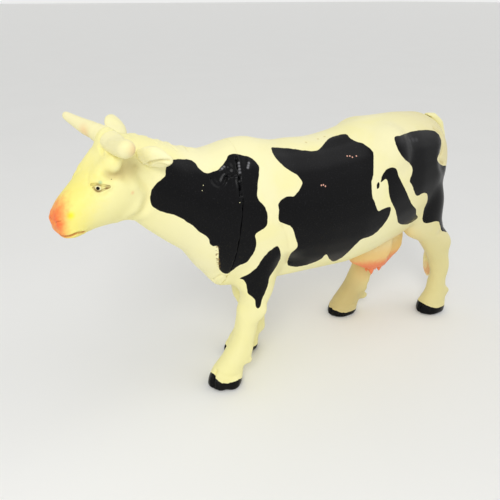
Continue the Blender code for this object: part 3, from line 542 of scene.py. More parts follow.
class CowColours(bpy.types.PropertyGroup):
    """Colours of the vinyl and of its paint."""
    cream: FloatVectorProperty(
        name="Cream", description="Plain vinyl", subtype="COLOR", size=4,
        default=(0.935, 0.885, 0.53, 1.0))
    straw: FloatVectorProperty(
        name="Straw", description="Yellower vinyl in the mottling", subtype="COLOR", size=4,
        default=(0.93, 0.87, 0.38, 1.0))
    yellow: FloatVectorProperty(
        name="Yellow", description="Spray behind the muzzle", subtype="COLOR", size=4,
        default=(0.94, 0.83, 0.14, 1.0))
    lemon: FloatVectorProperty(
        name="Lemon", description="Bright spot behind the muzzle", subtype="COLOR", size=4,
        default=(0.95, 0.86, 0.01, 1.0))
    # Ochre: painted shade in the skin's hollows, and the marks at the back's dents
    ochre: FloatVectorProperty(
        name="Ochre", description="Grime that lies in the creases", subtype="COLOR", size=4,
        default=(0.56, 0.40, 0.12, 1.0))
    # Tan: painted shade on the rear and the hind legs, on the far hock and in the brow pits
    tan: FloatVectorProperty(
        name="Tan", description="Dull tint of the hind legs and hollows", subtype="COLOR", size=4,
        default=(0.50, 0.37, 0.155, 1.0))
    black: FloatVectorProperty(
        name="Black", description="Coat patches and hooves", subtype="COLOR", size=4,
        default=(0.0026, 0.0026, 0.0031, 1.0))
    # Dust and sheen: dusty specks on the black paint, and the painted highlights on the rump's black
    dust_and_sheen: FloatVectorProperty(
        name="Dust", description="Dust and scuffs on the black paint", subtype="COLOR", size=4,
        default=(0.038, 0.038, 0.042, 1.0))
    # Gleam: painted highlights on the wrinkles of the black paint
    gleam: FloatVectorProperty(
        name="Gleam", description="Rubbed, shiny wrinkles of the black paint", subtype="COLOR", size=4,
        default=(0.42, 0.42, 0.44, 1.0))
    orange: FloatVectorProperty(
        name="Orange", description="Spray on the muzzle", subtype="COLOR", size=4,
        default=(0.95, 0.18, 0.055, 1.0))
    pink: FloatVectorProperty(
        name="Pink", description="Spray on the udder and the teats", subtype="COLOR", size=4,
        default=(0.93, 0.26, 0.11, 1.0))
    apricot: FloatVectorProperty(
        name="Apricot", description="Soft start of the spray on the udder", subtype="COLOR", size=4,
        default=(0.86, 0.52, 0.15, 1.0))
    chip: FloatVectorProperty(
        name="Chip", description="Chips in the black paint", subtype="COLOR", size=4,
        default=(0.93, 0.50, 0.38, 1.0))
    lip: FloatVectorProperty(
        name="Lip", description="Line of the mouth and the nostrils", subtype="COLOR", size=4,
        default=(0.60, 0.09, 0.02, 1.0))
    lid: FloatVectorProperty(
        name="Lid", description="Line round the eyes", subtype="COLOR", size=4,
        default=(0.26, 0.15, 0.04, 1.0))
    green: FloatVectorProperty(
        name="Green", description="Speck above the left eye", subtype="COLOR", size=4,
        default=(0.22, 0.50, 0.34, 1.0))
    horn: FloatVectorProperty(
        name="Horn", description="Vinyl of the horns", subtype="COLOR", size=4,
        default=(0.91, 0.85, 0.50, 1.0))


class CowStage(bpy.types.PropertyGroup):
    """Light and ground."""
    floor: FloatVectorProperty(
        name="Floor", description="Colour of the floor", subtype="COLOR", size=4,
        default=(0.90, 0.90, 0.88, 1.0))
    key: FloatProperty(
        name="Key", description="Power of the lamp near the head", default=2.3, unit="POWER")
    key_size: FloatProperty(
        name="Key Size", description="Width of the lamp near the head", default=0.34, unit="LENGTH")
    key_place: FloatVectorProperty(
        name="Key Place", description="Place of the lamp near the head", size=3, subtype="TRANSLATION",
        unit="LENGTH", default=(-0.40, -0.50, 0.58))
    side: FloatProperty(
        name="Side", description="Strength of the wide lamp on the right", default=0.5)
    side_softness: FloatProperty(
        name="Side Softness", description="Width of the lamp on the right, as seen from the cow",
        default=math.radians(48), unit="ROTATION")
    sky: FloatProperty(
        name="Sky", description="Strength of the even light from all round", default=0.62)
    backdrop: FloatProperty(
        name="Backdrop", description="Brightness of the world behind the floor", default=0.86)
    floor_size: FloatProperty(
        name="Floor Size", description="Width of the floor", default=40.0, unit="LENGTH")


def photo_axes():
    """Right, up and ahead, as the photograph's camera sees them."""
    level = math.cos(PHOTO_DROP)
    ahead = Vector((-math.sin(PHOTO_TURN) * level, math.cos(PHOTO_TURN) * level, -math.sin(PHOTO_DROP)))
    right = Vector((math.cos(PHOTO_TURN), math.sin(PHOTO_TURN), 0.0))
    return right, right.cross(ahead), ahead


def to_pixels(points):
    """Where points of space lie in the photograph, and how far away they are."""
    right, up, ahead = (np.array(axis) for axis in photo_axes())
    away = points - np.array(PHOTO_CAMERA)
    depth = away @ ahead
    across = PHOTO_SIZE / 2 + PHOTO_FOCAL * (away @ right) / depth
    down = PHOTO_SIZE / 2 - PHOTO_FOCAL * (away @ up) / depth
    return np.stack([across, down], axis=1), depth


def sight(pixel):
    """The way from the photograph's camera through a pixel."""
    right, up, ahead = photo_axes()
    across = pixel[0] - PHOTO_SIZE / 2
    down = pixel[1] - PHOTO_SIZE / 2
    return (ahead * PHOTO_FOCAL + right * across - up * down).normalized()


def on_skin(skin, pixel, reach=0.6, steps=240):
    """The point of a skin that a pixel of the photograph shows, or the nearest one to its sight line."""
    way = sight(pixel)
    place = skin.tree.ray_cast(PHOTO_CAMERA, way)[0]
    if place is None:
        tries = [skin.tree.find_nearest(PHOTO_CAMERA + way * (reach * k / steps)) for k in range(steps)]
        place = min(tries, key=lambda found: found[3])[0]
    return place


def beyond(pixel, side):
    """The point of a pixel's sight line at a level beside the cow's middle."""
    way = sight(pixel)
    return PHOTO_CAMERA + way * ((MEDIAN_SIDE + side - PHOTO_CAMERA.y) / way.y)


def head_frame():
    """The head's own frame: X ahead, Y to its right, Z up."""
    turn = Matrix.Rotation(HEAD_TURN, 4, "Z")
    face = Matrix.Diagonal((-1.0, 1.0, 1.0, 1.0))
    return Matrix.Translation(HEAD_PLACE) @ turn @ face @ Matrix.Rotation(HEAD_ROLL, 4, "X")


def across_head(skin, place):
    """The matching point of the skin on the head's other side."""
    own = head_frame()
    mirror = own @ Matrix.Diagonal((1.0, -1.0, 1.0, 1.0)) @ own.inverted()
    return skin.tree.find_nearest(mirror @ place)[0]


def both_sides(skin, place):
    """A place of the head's left side and its mirror image."""
    return place, across_head(skin, place)


def curved(points, steps=5, closed=False):
    """A smooth line through points, as many short stretches."""
    rows = [np.array(p, float) for p in points]
    if closed:
        rows = [rows[-1], *rows, rows[0], rows[1]]
    else:
        rows = [2 * rows[0] - rows[1], *rows, 2 * rows[-1] - rows[-2]]
    line = []
    for a, b, c, d in zip(rows, rows[1:], rows[2:], rows[3:]):
        for step in range(steps):
            t = step / steps
            line.append(0.5 * (2 * b + (c - a) * t + (2 * a - 5 * b + 4 * c - d) * t ** 2
                               + (3 * b - a - 3 * c + d) * t ** 3))
    if not closed:
        line.append(rows[-2])
    return line


def line_distance(points, line):
    """Each point's distance from a line of short stretches."""
    best = np.full(len(points), np.inf)
    for start, end in zip(line, line[1:]):
        way = end - start
        along = np.clip(((points - start) @ way) / max(way @ way, TINY), 0.0, 1.0)
        gap = np.linalg.norm(points - start - along[:, None] * way, axis=1)
        best = np.minimum(best, gap)
    return best


def inside_outline(points, line):
    """Which flat points lie inside a closed line."""
    inside = np.zeros(len(points), bool)
    x, y = points[:, 0], points[:, 1]
    for (ax, ay), (bx, by) in zip(line, line[1:]):
        if ay == by:
            continue
        crosses = ((ay > y) != (by > y)) & (x < (bx - ax) * (y - ay) / (by - ay) + ax)
        inside ^= crosses
    return inside


def outline_depth(points, outline):
    """How far flat points lie inside an outline; negative outside it."""
    line = curved(outline, closed=True)
    line.append(line[0])
    gap = line_distance(points, line)
    return np.where(inside_outline(points, line), gap, -gap)


class Skin:
    """A dense mesh whose points are pushed and pulled like clay."""

    def __init__(self, mesh):
        self.mesh = mesh
        self.points = np.empty(len(mesh.vertices) * 3)
        mesh.vertices.foreach_get("co", self.points)
        self.points = self.points.reshape(-1, 3)
        self.edges = np.empty(len(mesh.edges) * 2, int)
        mesh.edges.foreach_get("vertices", self.edges)
        self.edges = self.edges.reshape(-1, 2)
        self.settle()

    def settle(self):
        """Write the points back, and read the normals and a search tree from the mesh."""
        self.mesh.vertices.foreach_set("co", self.points.ravel())
        self.mesh.update()
        normals = np.empty(len(self.points) * 3)
        self.mesh.vertex_normals.foreach_get("vector", normals)
        self.normals = normals.reshape(-1, 3)
        bm = bmesh.new()
        bm.from_mesh(self.mesh)
        self.tree = BVHTree.FromBMesh(bm)
        bm.free()

    def around(self, values):
        """The mean of each point's neighbours."""
        ends = self.edges.ravel()
        others = self.edges[:, ::-1].ravel()
        count = np.maximum(np.bincount(ends, minlength=len(self.points)), 1)
        columns = [np.bincount(ends, values[others, k], len(self.points)) / count
                   for k in range(values.shape[1])]
        return np.stack(columns, axis=1)

    def relax(self, rounds, share=0.5):
        """Smooth the skin; share may differ from point to point."""
        share = np.broadcast_to(np.asarray(share, float), (len(self.points),))[:, None]
        for _ in range(rounds):
            self.points = self.points + share * (self.around(self.points) - self.points)
        self.settle()

    def gap(self, place):
        """Each point's distance from a place."""
        return np.linalg.norm(self.points - np.array(place), axis=1)

    def swell(self, place, radius, height):
        """Raise a soft round bump, or a dent where the height is negative, in millimetres."""
        share = np.clip(1.0 - (self.gap(place) / (radius * MM)) ** 2, 0.0, 1.0) ** 2
        self.points = self.points + self.normals * (share * (height * MM))[:, None]

    def drag(self, place, radius, way):
        """Move a soft round region by a short way."""
        share = np.clip(1.0 - (self.gap(place) / radius) ** 2, 0.0, 1.0) ** 2
        self.points = self.points + share[:, None] * np.array(way)

    def crease(self, line, width, depth, lip=0.0):
        """Press a soft groove along a line, with a raised lip on each side, in millimetres."""
        gap = line_distance(self.points, line)
        wide = width * MM
        press = depth * MM * np.exp(-(gap / wide) ** 2)
        rise = lip * MM * np.exp(-((gap - 2 * wide) / wide) ** 2)
        self.points = self.points + self.normals * (rise - press)[:, None]

    def trace(self, pixels):
        """A smooth line on the skin through pixels of the photograph."""
        return [np.array(on_skin(self, pixel)) for pixel in curved(pixels, steps=3)]

    def mirrored(self, line):
        """The same line on the head's other side."""
        return [np.array(across_head(self, Vector(point))) for point in line]

    def draped(self, points):
        """A smooth line through points of space, laid on the skin."""
        return [np.array(self.tree.find_nearest(Vector(point))[0]) for point in curved(points, steps=3)]

    def carry(self, name, values):
        """Store one value for each point, for the material to read."""
        attribute = self.mesh.attributes.new(name, "FLOAT", "POINT")
        attribute.data.foreach_set("value", np.asarray(values, np.float32))

    def hollowness(self, rounds=3):
        """How far each point lies in a hollow of its surroundings, in metres."""
        mean = self.around(self.points)
        for _ in range(rounds):
            mean = self.around(mean)
        depth = ((mean - self.points) * self.normals).sum(axis=1)[:, None]
        return self.around(self.around(depth))[:, 0]


def plain_copy(names):
    """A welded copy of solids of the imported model."""
    bm = bmesh.new()
    for name in names:
        bm.from_mesh(frame["nodes"][name].data)
    bmesh.ops.remove_doubles(bm, verts=bm.verts, dist=WELD)
    return bm


def open_ways(count=24):
    """Directions spread evenly over a ball."""
    golden = math.pi * (3 - math.sqrt(5))
    ways = []
    for step in range(count):
        z = 1 - (2 * step + 1) / count
        level = math.sqrt(1 - z * z)
        ways.append(Vector((level * math.cos(golden * step), level * math.sin(golden * step), z)))
    return ways


def drop_scraps(bm, least=400):
    """Delete what hangs together in only a few faces."""
    left = set(bm.faces)
    while left:
        found = {left.pop()}
        front = set(found)
        while front:
            front = {near for face in front for edge in face.edges for near in edge.link_faces} - found
            found |= front
        left -= found
        if len(found) < least:
            bmesh.ops.delete(bm, geom=list(found), context="FACES")


def keep_outside(bm, open_share=0.25, grazing_share=0.15):
    """Delete faces that see little open air: hollows, holes and faces in the seam."""
    tree = BVHTree.FromBMesh(bm)
    ways = open_ways()
    shut = []
    for face in bm.faces:
        start = face.calc_center_median() + face.normal * (10 * WELD)
        facing = [way for way in ways if way.dot(face.normal) > grazing_share]
        free = sum(tree.ray_cast(start, way)[0] is None for way in facing)
        if free < open_share * len(facing):
            shut.append(face)
    bmesh.ops.delete(bm, geom=shut, context="FACES")
    drop_scraps(bm)
    pinched = [True]
    while pinched:
        pinched = [v for v in bm.verts if sum(e.is_boundary for e in v.link_edges) > 2]
        bmesh.ops.delete(bm, geom=pinched, context="VERTS")
    rims = [edge for edge in bm.edges if edge.is_boundary]
    caps = bmesh.ops.edgeloop_fill(bm, edges=rims)["faces"]
    bmesh.ops.recalc_face_normals(bm, faces=bm.faces)
    for cap in caps:
        if abs((cap.calc_center_median() - SEAM_POINT).dot(SEAM_AHEAD)) < MM:
            outward = cap.normal.copy()
            grown = bmesh.ops.extrude_discrete_faces(bm, faces=[cap])["faces"]
            moved = list({v for face in grown for v in face.verts})
            bmesh.ops.translate(bm, verts=moved, vec=outward * MM)


def cut_off(bm, point, normal, lowest=0.0):
    """Cut off what lies on the normal's side of a plane, above a level, and close the cut."""
    faces = [face for face in bm.faces if face.calc_center_median().z > lowest]
    edges = {edge for face in faces for edge in face.edges}
    verts = {vert for face in faces for vert in face.verts}
    geometry = [*verts, *edges, *faces]
    cut = bmesh.ops.bisect_plane(bm, geom=geometry, plane_co=point, plane_no=normal, clear_outer=True)
    edges = [e for e in cut["geom_cut"] if isinstance(e, bmesh.types.BMEdge)]
    return bmesh.ops.holes_fill(bm, edges=edges, sides=0)["faces"]


def melted(bm, cell):
    """Melt overlapping or faceted solids into one even skin."""
    mesh = bpy.data.meshes.new("melt")
    bm.to_mesh(mesh)
    bm.free()
    thing = bpy.data.objects.new("melt", mesh)
    bpy.context.scene.collection.objects.link(thing)
    remesh = thing.modifiers.new("melt", "REMESH")
    remesh.mode = "VOXEL"
    remesh.voxel_size = cell
    bpy.context.view_layer.update()
    graph = bpy.context.evaluated_depsgraph_get()
    skin = bpy.data.meshes.new_from_object(thing.evaluated_get(graph))
    bpy.data.objects.remove(thing, do_unlink=True)
    bpy.data.meshes.remove(mesh)
    return skin


def seam_skin(cell, side, rounds):
    """The outer skin on one side of the neck seam, smoothed across it and then cut."""
    normal = SEAM_AHEAD * side
    bm = plain_copy(["body_shell", "head_shell"])
    keep_outside(bm)
    if side < 0:
        cut_off(bm, Vector((0.0, 0.0, LEG_TOP)), Vector((0.0, 0.0, -1.0)))
    cut_off(bm, SEAM_POINT + normal * SEAM_MARGIN, normal, LEG_TOP)
    skin = Skin(melted(bm, cell))
    skin.relax(rounds)
    fit(skin, NECK_MOVES)
    bm = bmesh.new()
    bm.from_mesh(skin.mesh)
    caps = cut_off(bm, SEAM_POINT - normal * seam_half(), normal, LEG_TOP)
    bmesh.ops.recalc_face_normals(bm, faces=bm.faces)
    bmesh.ops.inset_region(bm, faces=caps, thickness=CUT_RING, use_even_offset=True)
    for cap in caps:
        cap.material_index = 1
    bmesh.ops.triangulate(bm, faces=caps)
    bm.to_mesh(skin.mesh)
    bm.free()
    return skin.mesh


def refine(mesh, places, radius):
    """Halve the cells round some places."""
    bm = bmesh.new()
    bm.from_mesh(mesh)
    near = []
    for edge in bm.edges:
        middle = (edge.verts[0].co + edge.verts[1].co) / 2
        if any((middle - place).length < radius for place in places):
            near.append(edge)
    bmesh.ops.subdivide_edges(bm, edges=near, cuts=1, use_grid_fill=True, smooth=0.0)
    bm.to_mesh(mesh)
    bm.free()


def seen_in_photo(skin, facing_share=0.12):
    """Which points the photograph shows."""
    away = np.array(PHOTO_CAMERA) - skin.points
    away /= np.linalg.norm(away, axis=1)[:, None]
    facing = (away * skin.normals).sum(axis=1) > facing_share
    seen = np.zeros(len(skin.points), bool)
    for index in np.nonzero(facing)[0]:
        start = Vector(skin.points[index]) + Vector(skin.normals[index]) * (MM / 2)
        seen[index] = skin.tree.ray_cast(start, Vector(away[index]))[0] is None
    return seen


def spread(skin, known, values, slope=0.9):
    """Carry values on from known points to the rest, falling off with distance."""
    places = KDTree(int(known.sum()))
    rows = np.nonzero(known)[0]
    for row in rows:
        places.insert(skin.points[row], int(row))
    places.balance()
    result = values.copy()
    for index in np.nonzero(~known)[0]:
        _, row, gap = places.find(skin.points[index])
        result[index] = values[row] - slope * gap
    return result


def evened(skin, values, held, rounds=40):
    """Even out values between points, but hold some of them."""
    result = values.copy()
    for _ in range(rounds):
        result = np.where(held, values, skin.around(result[:, None])[:, 0])
    return result


def patch_depth(skin):
    """How far each point lies inside the black coat patches, in metres."""
    pixels, depth = to_pixels(skin.points)
    per_pixel = depth / PHOTO_FOCAL
    left = np.full(len(skin.points), FAR_OUTSIDE)
    for outline in LEFT_PATCHES.values():
        left = np.maximum(left, outline_depth(pixels, outline) * per_pixel)
    seen = seen_in_photo(skin)
    left = spread(skin, seen, left)
    low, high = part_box("body_shell")
    shares = np.array([high.x - low.x, high.z - low.z])
    flat = skin.points[:, [0, 2]]
    right = np.full(len(skin.points), FAR_OUTSIDE)
    for outline in RIGHT_PATCHES.values():
        places = [np.array((low.x, 0.0)) + np.array(point) * shares for point in outline]
        right = np.maximum(right, outline_depth(flat, places))
    turned = (skin.points[:, 1] > MEDIAN_SIDE) & (skin.normals[:, 1] > RIGHT_FACING)
    right = spread(skin, turned, right)
    return evened(skin, np.where(seen, left, np.maximum(left, right)), seen | turned)


def finished(name, mesh, body, materials, sharp=math.radians(50)):
    """Make a finished mesh a piece that rides on a body and stands for its solid."""
    mesh.name = name
    for material in materials:
        mesh.materials.append(material)
    mesh.shade_smooth()
    mesh.set_sharp_from_angle(angle=sharp)
    piece = bpy.data.objects.new(name + "_skin", mesh)
    bpy.context.scene.collection.objects.link(piece)
    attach(piece, body)
    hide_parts(name)
    return piece


def seam_half():
    """Half the width of the line between the body and the neck."""
    return bpy.context.scene.cow_sizes.seam_gap / 2


def round_seam(skin):
    """Draw the rim of the cut in a little, so that the seam shows as a fine line."""
    ahead = np.array(SEAM_AHEAD)
    gap = np.abs((skin.points - np.array(SEAM_POINT)) @ ahead)
    gap = np.where(skin.points[:, 2] > LEG_TOP, gap, 1.0)
    level = skin.normals - (skin.normals @ ahead)[:, None] * ahead
    depth = RIM_DEPTH * MM * np.exp(-(gap / (RIM_WIDTH * MM)) ** 2)
    skin.points = skin.points - level * depth[:, None]
    skin.settle()


def press(skin, groove, *marks):
    """Press a groove along marks, each a line of pixels of the photograph."""
    for mark in marks:
        skin.crease(skin.trace(mark), *GROOVES[groove])


def press_both(skin, groove, mark):
    """Press a groove along a mark of the face and its mirror image; returns both lines."""
    left = skin.trace(mark)
    lines = (left, skin.mirrored(left))
    for line in lines:
        skin.crease(line, *GROOVES[groove])
    return lines


def raise_up(skin, bump, *marks):
    """Raise a bump, or press a dent, at pixels of the photograph."""
    for mark in marks:
        skin.swell(on_skin(skin, mark), *BUMPS[bump])


def raise_both(skin, bump, mark):
    """Raise a bump, or press a dent, on both sides of the face."""
    for place in both_sides(skin, on_skin(skin, mark)):
        skin.swell(place, *BUMPS[bump])


def hoof_boxes(skin, height=0.004):
    """Lowest and highest corners of the four hooves, found where the skin meets the floor."""
    boxes = []
    soles = skin.points[skin.points[:, 2] < height]
    for left in (True, False):
        for front in (True, False):
            own = soles[((soles[:, 1] < MEDIAN_SIDE) == left) & ((soles[:, 0] < FRONT_END) == front)]
            boxes.append((own.min(axis=0), own.max(axis=0)))
    return boxes


def hoof_paint(skin):
    """How far each point lies inside the black paint of the hooves, in metres."""
    limits = bpy.context.scene.cow_sizes.hoof_paint
    depth = np.full(len(skin.points), FAR_OUTSIDE)
    for limit, (low, high) in zip(limits, hoof_boxes(skin)):
        rise = TOE_PAINT * np.exp(-((skin.points[:, 0] - low[0]) / TOE_REACH) ** 2)
        fall = HEEL_PAINT * np.exp(-((high[0] - skin.points[:, 0]) / TOE_REACH) ** 2)
        near = (skin.points[:, :2] > low[:2] - TOE_REACH) & (skin.points[:, :2] < high[:2] + TOE_REACH)
        own = limit * (1 + rise - fall) - skin.points[:, 2]
        depth = np.where(near.all(axis=1), np.maximum(depth, own), depth)
    pixels, away = to_pixels(skin.points)
    photo = outline_depth(pixels, NEAR_HOOF) * away / PHOTO_FOCAL
    low, high = hoof_boxes(skin)[0]
    near = (skin.points[:, 0] < high[0] + TOE_REACH) & (skin.points[:, 2] < NEAR_HOOF_RISE * limits[0])
    near &= (skin.points[:, 1] < MEDIAN_SIDE) & (skin.normals @ np.array(photo_axes()[2]) < 0.0)
    return np.where(near, photo, depth)


def shape_feet(skin):
    """Cloven toes, the crease above the paint, and the hollow under the dewclaws."""
    clefts = [skin.trace(LEFT_TOE_CLEFT)]
    coronets = [skin.trace(CORONET)]
    for low, high in hoof_boxes(skin):
        if low[0] < LEFT_FRONT_REACH:
            continue
        middle = (low + high) / 2
        half = (high - low) / 2
        rise = [(low[0] - half[0], middle[1], level * MM) for level in TOE_LEVELS]
        clefts.append(skin.draped(rise))
        ring = []
        for step in range(CORONET_STEPS + 1):
            turn = math.radians(CORONET_START + CORONET_SWEEP * step / CORONET_STEPS)
            back = middle[0] - half[0] * math.sin(turn)
            ring.append((back, middle[1] + half[1] * math.cos(turn), CORONET_LEVEL * MM))
        coronets.append(skin.draped(ring))
    for line in clefts:
        skin.crease(line, *GROOVES["toe"])
    for line in coronets:
        skin.crease(line, *GROOVES["coronet"])
    raise_up(skin, "dewclaw_under", DEWCLAW_UNDER)
    raise_up(skin, "dewclaw", DEWCLAW_TIP)
    skin.settle()


def fit(skin, moves):
    """Move soft regions a little, to where the photograph shows them."""
    right, up, ahead = photo_axes()
    for pixel, reach, across, down, nearer in moves:
        way = right * across - up * down - ahead * nearer
        skin.drag(on_skin(skin, pixel), reach * MM, way * MM)
    skin.settle()


def fit_body(skin):
    """Fit the legs, the back and the rump to the photograph."""
    fit(skin, BODY_MOVES)
    for pixel, reach, ahead in FAR_LEG_MOVES:
        skin.drag(beyond(pixel, FAR_LEG_SIDE), reach * MM, Vector((-ahead * MM, 0.0, 0.0)))
    skin.settle()


def shape_trunk(skin):
    """Folds and dents of the trunk and the hind leg."""
    press(skin, "elbow", ELBOW_FOLD)
    press(skin, "shoulder", SHOULDER_STREAK)
    press(skin, "tail", TAIL_GROOVE)
    raise_up(skin, "back", *BACK_DENTS)
    raise_up(skin, "hock", HOCK_DIMPLE)
    raise_up(skin, "hock_mark", HOCK_MARK)
    raise_up(skin, "tail_notch", TAIL_NOTCH)
    skin.settle()


def model_body():
    """The trunk and its four legs, shaped, with what their paint reads."""
    sizes = bpy.context.scene.cow_sizes
    skin = Skin(seam_skin(sizes.body_cell, 1, BODY_ROUNDS))
    fit_body(skin)
    shape_trunk(skin)
    shape_feet(skin)
    round_seam(skin)
    skin.points[:, 2] = np.maximum(skin.points[:, 2], 0.0)
    skin.settle()
    skin.carry("patch", patch_depth(skin))
    skin.carry("hoof", hoof_paint(skin))
    skin.carry("hollow", skin.hollowness())
    return skin


def shape_eyes(skin):
    """Sockets, eyeballs and lids; returns the eyes and each point's distance from the lids."""
    eyes = both_sides(skin, on_skin(skin, PUPIL))
    raise_both(skin, "socket", PUPIL)
    lids = (*press_both(skin, "upper_lid", UPPER_LID), *press_both(skin, "lower_lid", LOWER_LID))
    press_both(skin, "lid_fold", LID_FOLD)
    raise_both(skin, "eyeball", PUPIL)
    gap = np.min([line_distance(skin.points, line) for line in lids], axis=0)
    skin.settle()
    return eyes, gap


def shape_brows(skin):
    """Swollen brows, the shadowed pits behind them and the folds before the eyes."""
    knobs = both_sides(skin, on_skin(skin, BROW_KNOB))
    for place, bump in zip(knobs, ("left_brow", "right_brow")):
        skin.swell(place, *BUMPS[bump])
    raise_both(skin, "brow_pit", BROW_PIT)
    raise_both(skin, "pit_foot", PIT_FOOT)
    press_both(skin, "brow_ridge", BROW_RIDGE)
    press_both(skin, "brow_shadow", BROW_SHADOW)
    skin.settle()
    press_both(skin, "cheek_fold", CHEEK_FOLD)
    skin.settle()


def shape_jaw(skin):
    """Round cheeks that stand off the neck."""
    press_both(skin, "jaw", JAW)
    raise_both(skin, "cheek", CHEEK)
    skin.settle()


def shape_muzzle(skin):
    """Nostrils and mouth; returns each point's distance from the mouth and nostril lines."""
    raise_both(skin, "nostril", NOSTRIL)
    slits = press_both(skin, "nostril", NOSTRIL_LINE)
    left = skin.trace(MOUTH)
    right = skin.mirrored(left)
    mouth = skin.draped(left[::-MOUTH_STEP] + right[::MOUTH_STEP])
    skin.crease(mouth, *GROOVES["mouth"])
    gap = line_distance(skin.points, mouth)
    for line in slits:
        gap = np.minimum(gap, line_distance(skin.points, line) + SLIT_FADE)
    skin.settle()
    return gap


def shape_hair(skin):
    """Forelock, hair massed over the poll, and tufts along the mane."""
    press(skin, "poll", *POLL_RIDGES)
    raise_up(skin, "mane", *MANE_TUFTS)
    press(skin, "mane", *MANE_CREASES)
    press(skin, "forelock", FORELOCK)
    raise_up(skin, "forelock", FORELOCK_PIT)
    skin.settle()


def shape_neck(skin):
    """The pressed dent with its rim, the wrinkles before the seam, and the brisket's folds."""
    raise_up(skin, "neck_dent", NECK_DENT)
    raise_up(skin, "neck_bulge", *NECK_BULGES)
    press(skin, "dent_rim", NECK_DENT_RIM)
    press(skin, "dent_lip", NECK_DENT_LIP)
    press(skin, "neck", NECK_GROOVE)
    press(skin, "brisket", *BRISKET_FOLDS)
    skin.settle()


def muzzle_reach(skin):
    """How far each point lies ahead of the slanted line where the muzzle's spray starts."""
    local = (np.array(head_frame().inverted()) @ np.c_[skin.points, np.ones(len(skin.points))].T).T
    curve = np.minimum(SPRAY_HOLLOW * (local[:, 2] - SPRAY_LEVEL) ** 2, SPRAY_MOST)
    return local[:, 0] + SPRAY_SLANT * local[:, 2] + curve - SPRAY_START


def model_head():
    """The neck and the head, shaped, with what their paint reads, and the places of the eyes."""
    sizes = bpy.context.scene.cow_sizes
    mesh = seam_skin(sizes.head_cell, -1, HEAD_ROUNDS)
    skin = Skin(mesh)
    refine(mesh, both_sides(skin, on_skin(skin, PUPIL)), EYE_REGION)
    skin = Skin(mesh)
    fit(skin, HEAD_MOVES)
    shape_brows(skin)
    shape_jaw(skin)
    eyes, lids = shape_eyes(skin)
    mouth = shape_muzzle(skin)
    shape_hair(skin)
    shape_neck(skin)
    round_seam(skin)
    skin.carry("patch", patch_depth(skin))
    skin.carry("fringe", line_distance(skin.points, skin.trace(FRINGE)))
    skin.carry("hollow", skin.hollowness())
    skin.carry("lids", lids)
    skin.carry("mouth", mouth)
    skin.carry("muzzle", muzzle_reach(skin))
    return skin, eyes


def model_small(name, rounds, shape):
    """A small moulding: its solid, melted, smoothed and shaped."""
    sizes = bpy.context.scene.cow_sizes
    skin = Skin(melted(plain_copy([name]), sizes.small_cell))
    skin.relax(rounds)
    shape(skin, name)
    skin.carry("hollow", skin.hollowness())
    return skin


def shape_ear(skin, name):
    """The rounded lobe, the fold of its edge, the hollow below and the root."""
    if name == "left_ear":
        raise_up(skin, "ear_lobe", *LEFT_EAR_LOBE)
        raise_up(skin, "left_ear_hollow", LEFT_EAR_HOLLOW)
        press(skin, "ear_edge", LEFT_EAR_EDGE)
        raise_up(skin, "ear_root", LEFT_EAR_ROOT)
    else:
        raise_up(skin, "right_ear_hollow", RIGHT_EAR_HOLLOW)
    skin.settle()


def shape_horn(skin, name):
    """Set the root deep in the poll, and press shallow growth rings near it."""
    root = Vector(head_frame() @ Vector((HORN_ROOT_AHEAD, 0.0, HORN_ROOT_HEIGHT)))
    gap = skin.gap(root)
    inward = (root - Vector(skin.points[gap < HORN_SET_REACH].mean(axis=0))).normalized()
    share = np.clip(2.0 * (1.0 - gap / HORN_SET_REACH), 0.0, 1.0)
    skin.points = skin.points + share[:, None] * np.array(inward) * HORN_SET
    for ring in HORN_RINGS:
        depth = HORN_RING_DEPTH * np.exp(-((gap - ring) / HORN_RING_WIDTH) ** 2)
        skin.points = skin.points - skin.normals * depth[:, None]
    fit(skin, HORN_MOVES[name])


def shape_udder(skin, name):
    """A bag that hangs forward, and a groove between its halves."""
    low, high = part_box(name)
    fit(skin, UDDER_MOVES)
    middle = (low + high) / 2
    groove = [(back, MEDIAN_SIDE, low.z) for back in (low.x, middle.x, high.x)]
    skin.crease(skin.draped(groove), *GROOVES["udder"])
    skin.settle()


def shape_tail(skin, name):
    """Locks of hair combed down the tuft."""
    fit(skin, TAIL_MOVES)
    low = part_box(name)[0]
    middle = skin.points[skin.points[:, 2] < low.z + TUFT_LENGTH].mean(axis=0)
    for lock in range(TUFT_LOCKS):
        turn = 2 * math.pi * lock / TUFT_LOCKS
        line = []
        for step in range(LOCK_STEPS + 1):
            level = low.z + TUFT_LENGTH * step / LOCK_STEPS
            swirl = turn + LOCK_SWIRL * step / LOCK_STEPS
            across = middle[1] + LOCK_OUT * math.sin(swirl)
            line.append((middle[0] + LOCK_OUT * math.cos(swirl), across, level))
        skin.crease(skin.draped(line), *GROOVES["lock"])
    skin.settle()


def socket_group(name, inputs, outputs):
    """A shader node group with named sockets; returns its tree, its input and its output."""
    tree = bpy.data.node_groups.new(name, "ShaderNodeTree")
    for label, kind, default in inputs:
        socket = tree.interface.new_socket(label, in_out="INPUT", socket_type=kind)
        if default is not None:
            socket.default_value = default
    for label, kind in outputs:
        tree.interface.new_socket(label, in_out="OUTPUT", socket_type=kind)
    return tree, tree.nodes.new("NodeGroupInput"), tree.nodes.new("NodeGroupOutput")


def math_node(tree, operation, first, second=None, clamp=False):
    """A Math node on sockets or numbers; returns its output."""
    node = tree.nodes.new("ShaderNodeMath")
    node.operation = operation
    node.use_clamp = clamp
    for index, value in enumerate((first, second)):
        if value is None:
            continue
        if isinstance(value, bpy.types.NodeSocket):
            tree.links.new(value, node.inputs[index])
        else:
            node.inputs[index].default_value = value
    return node.outputs[0]


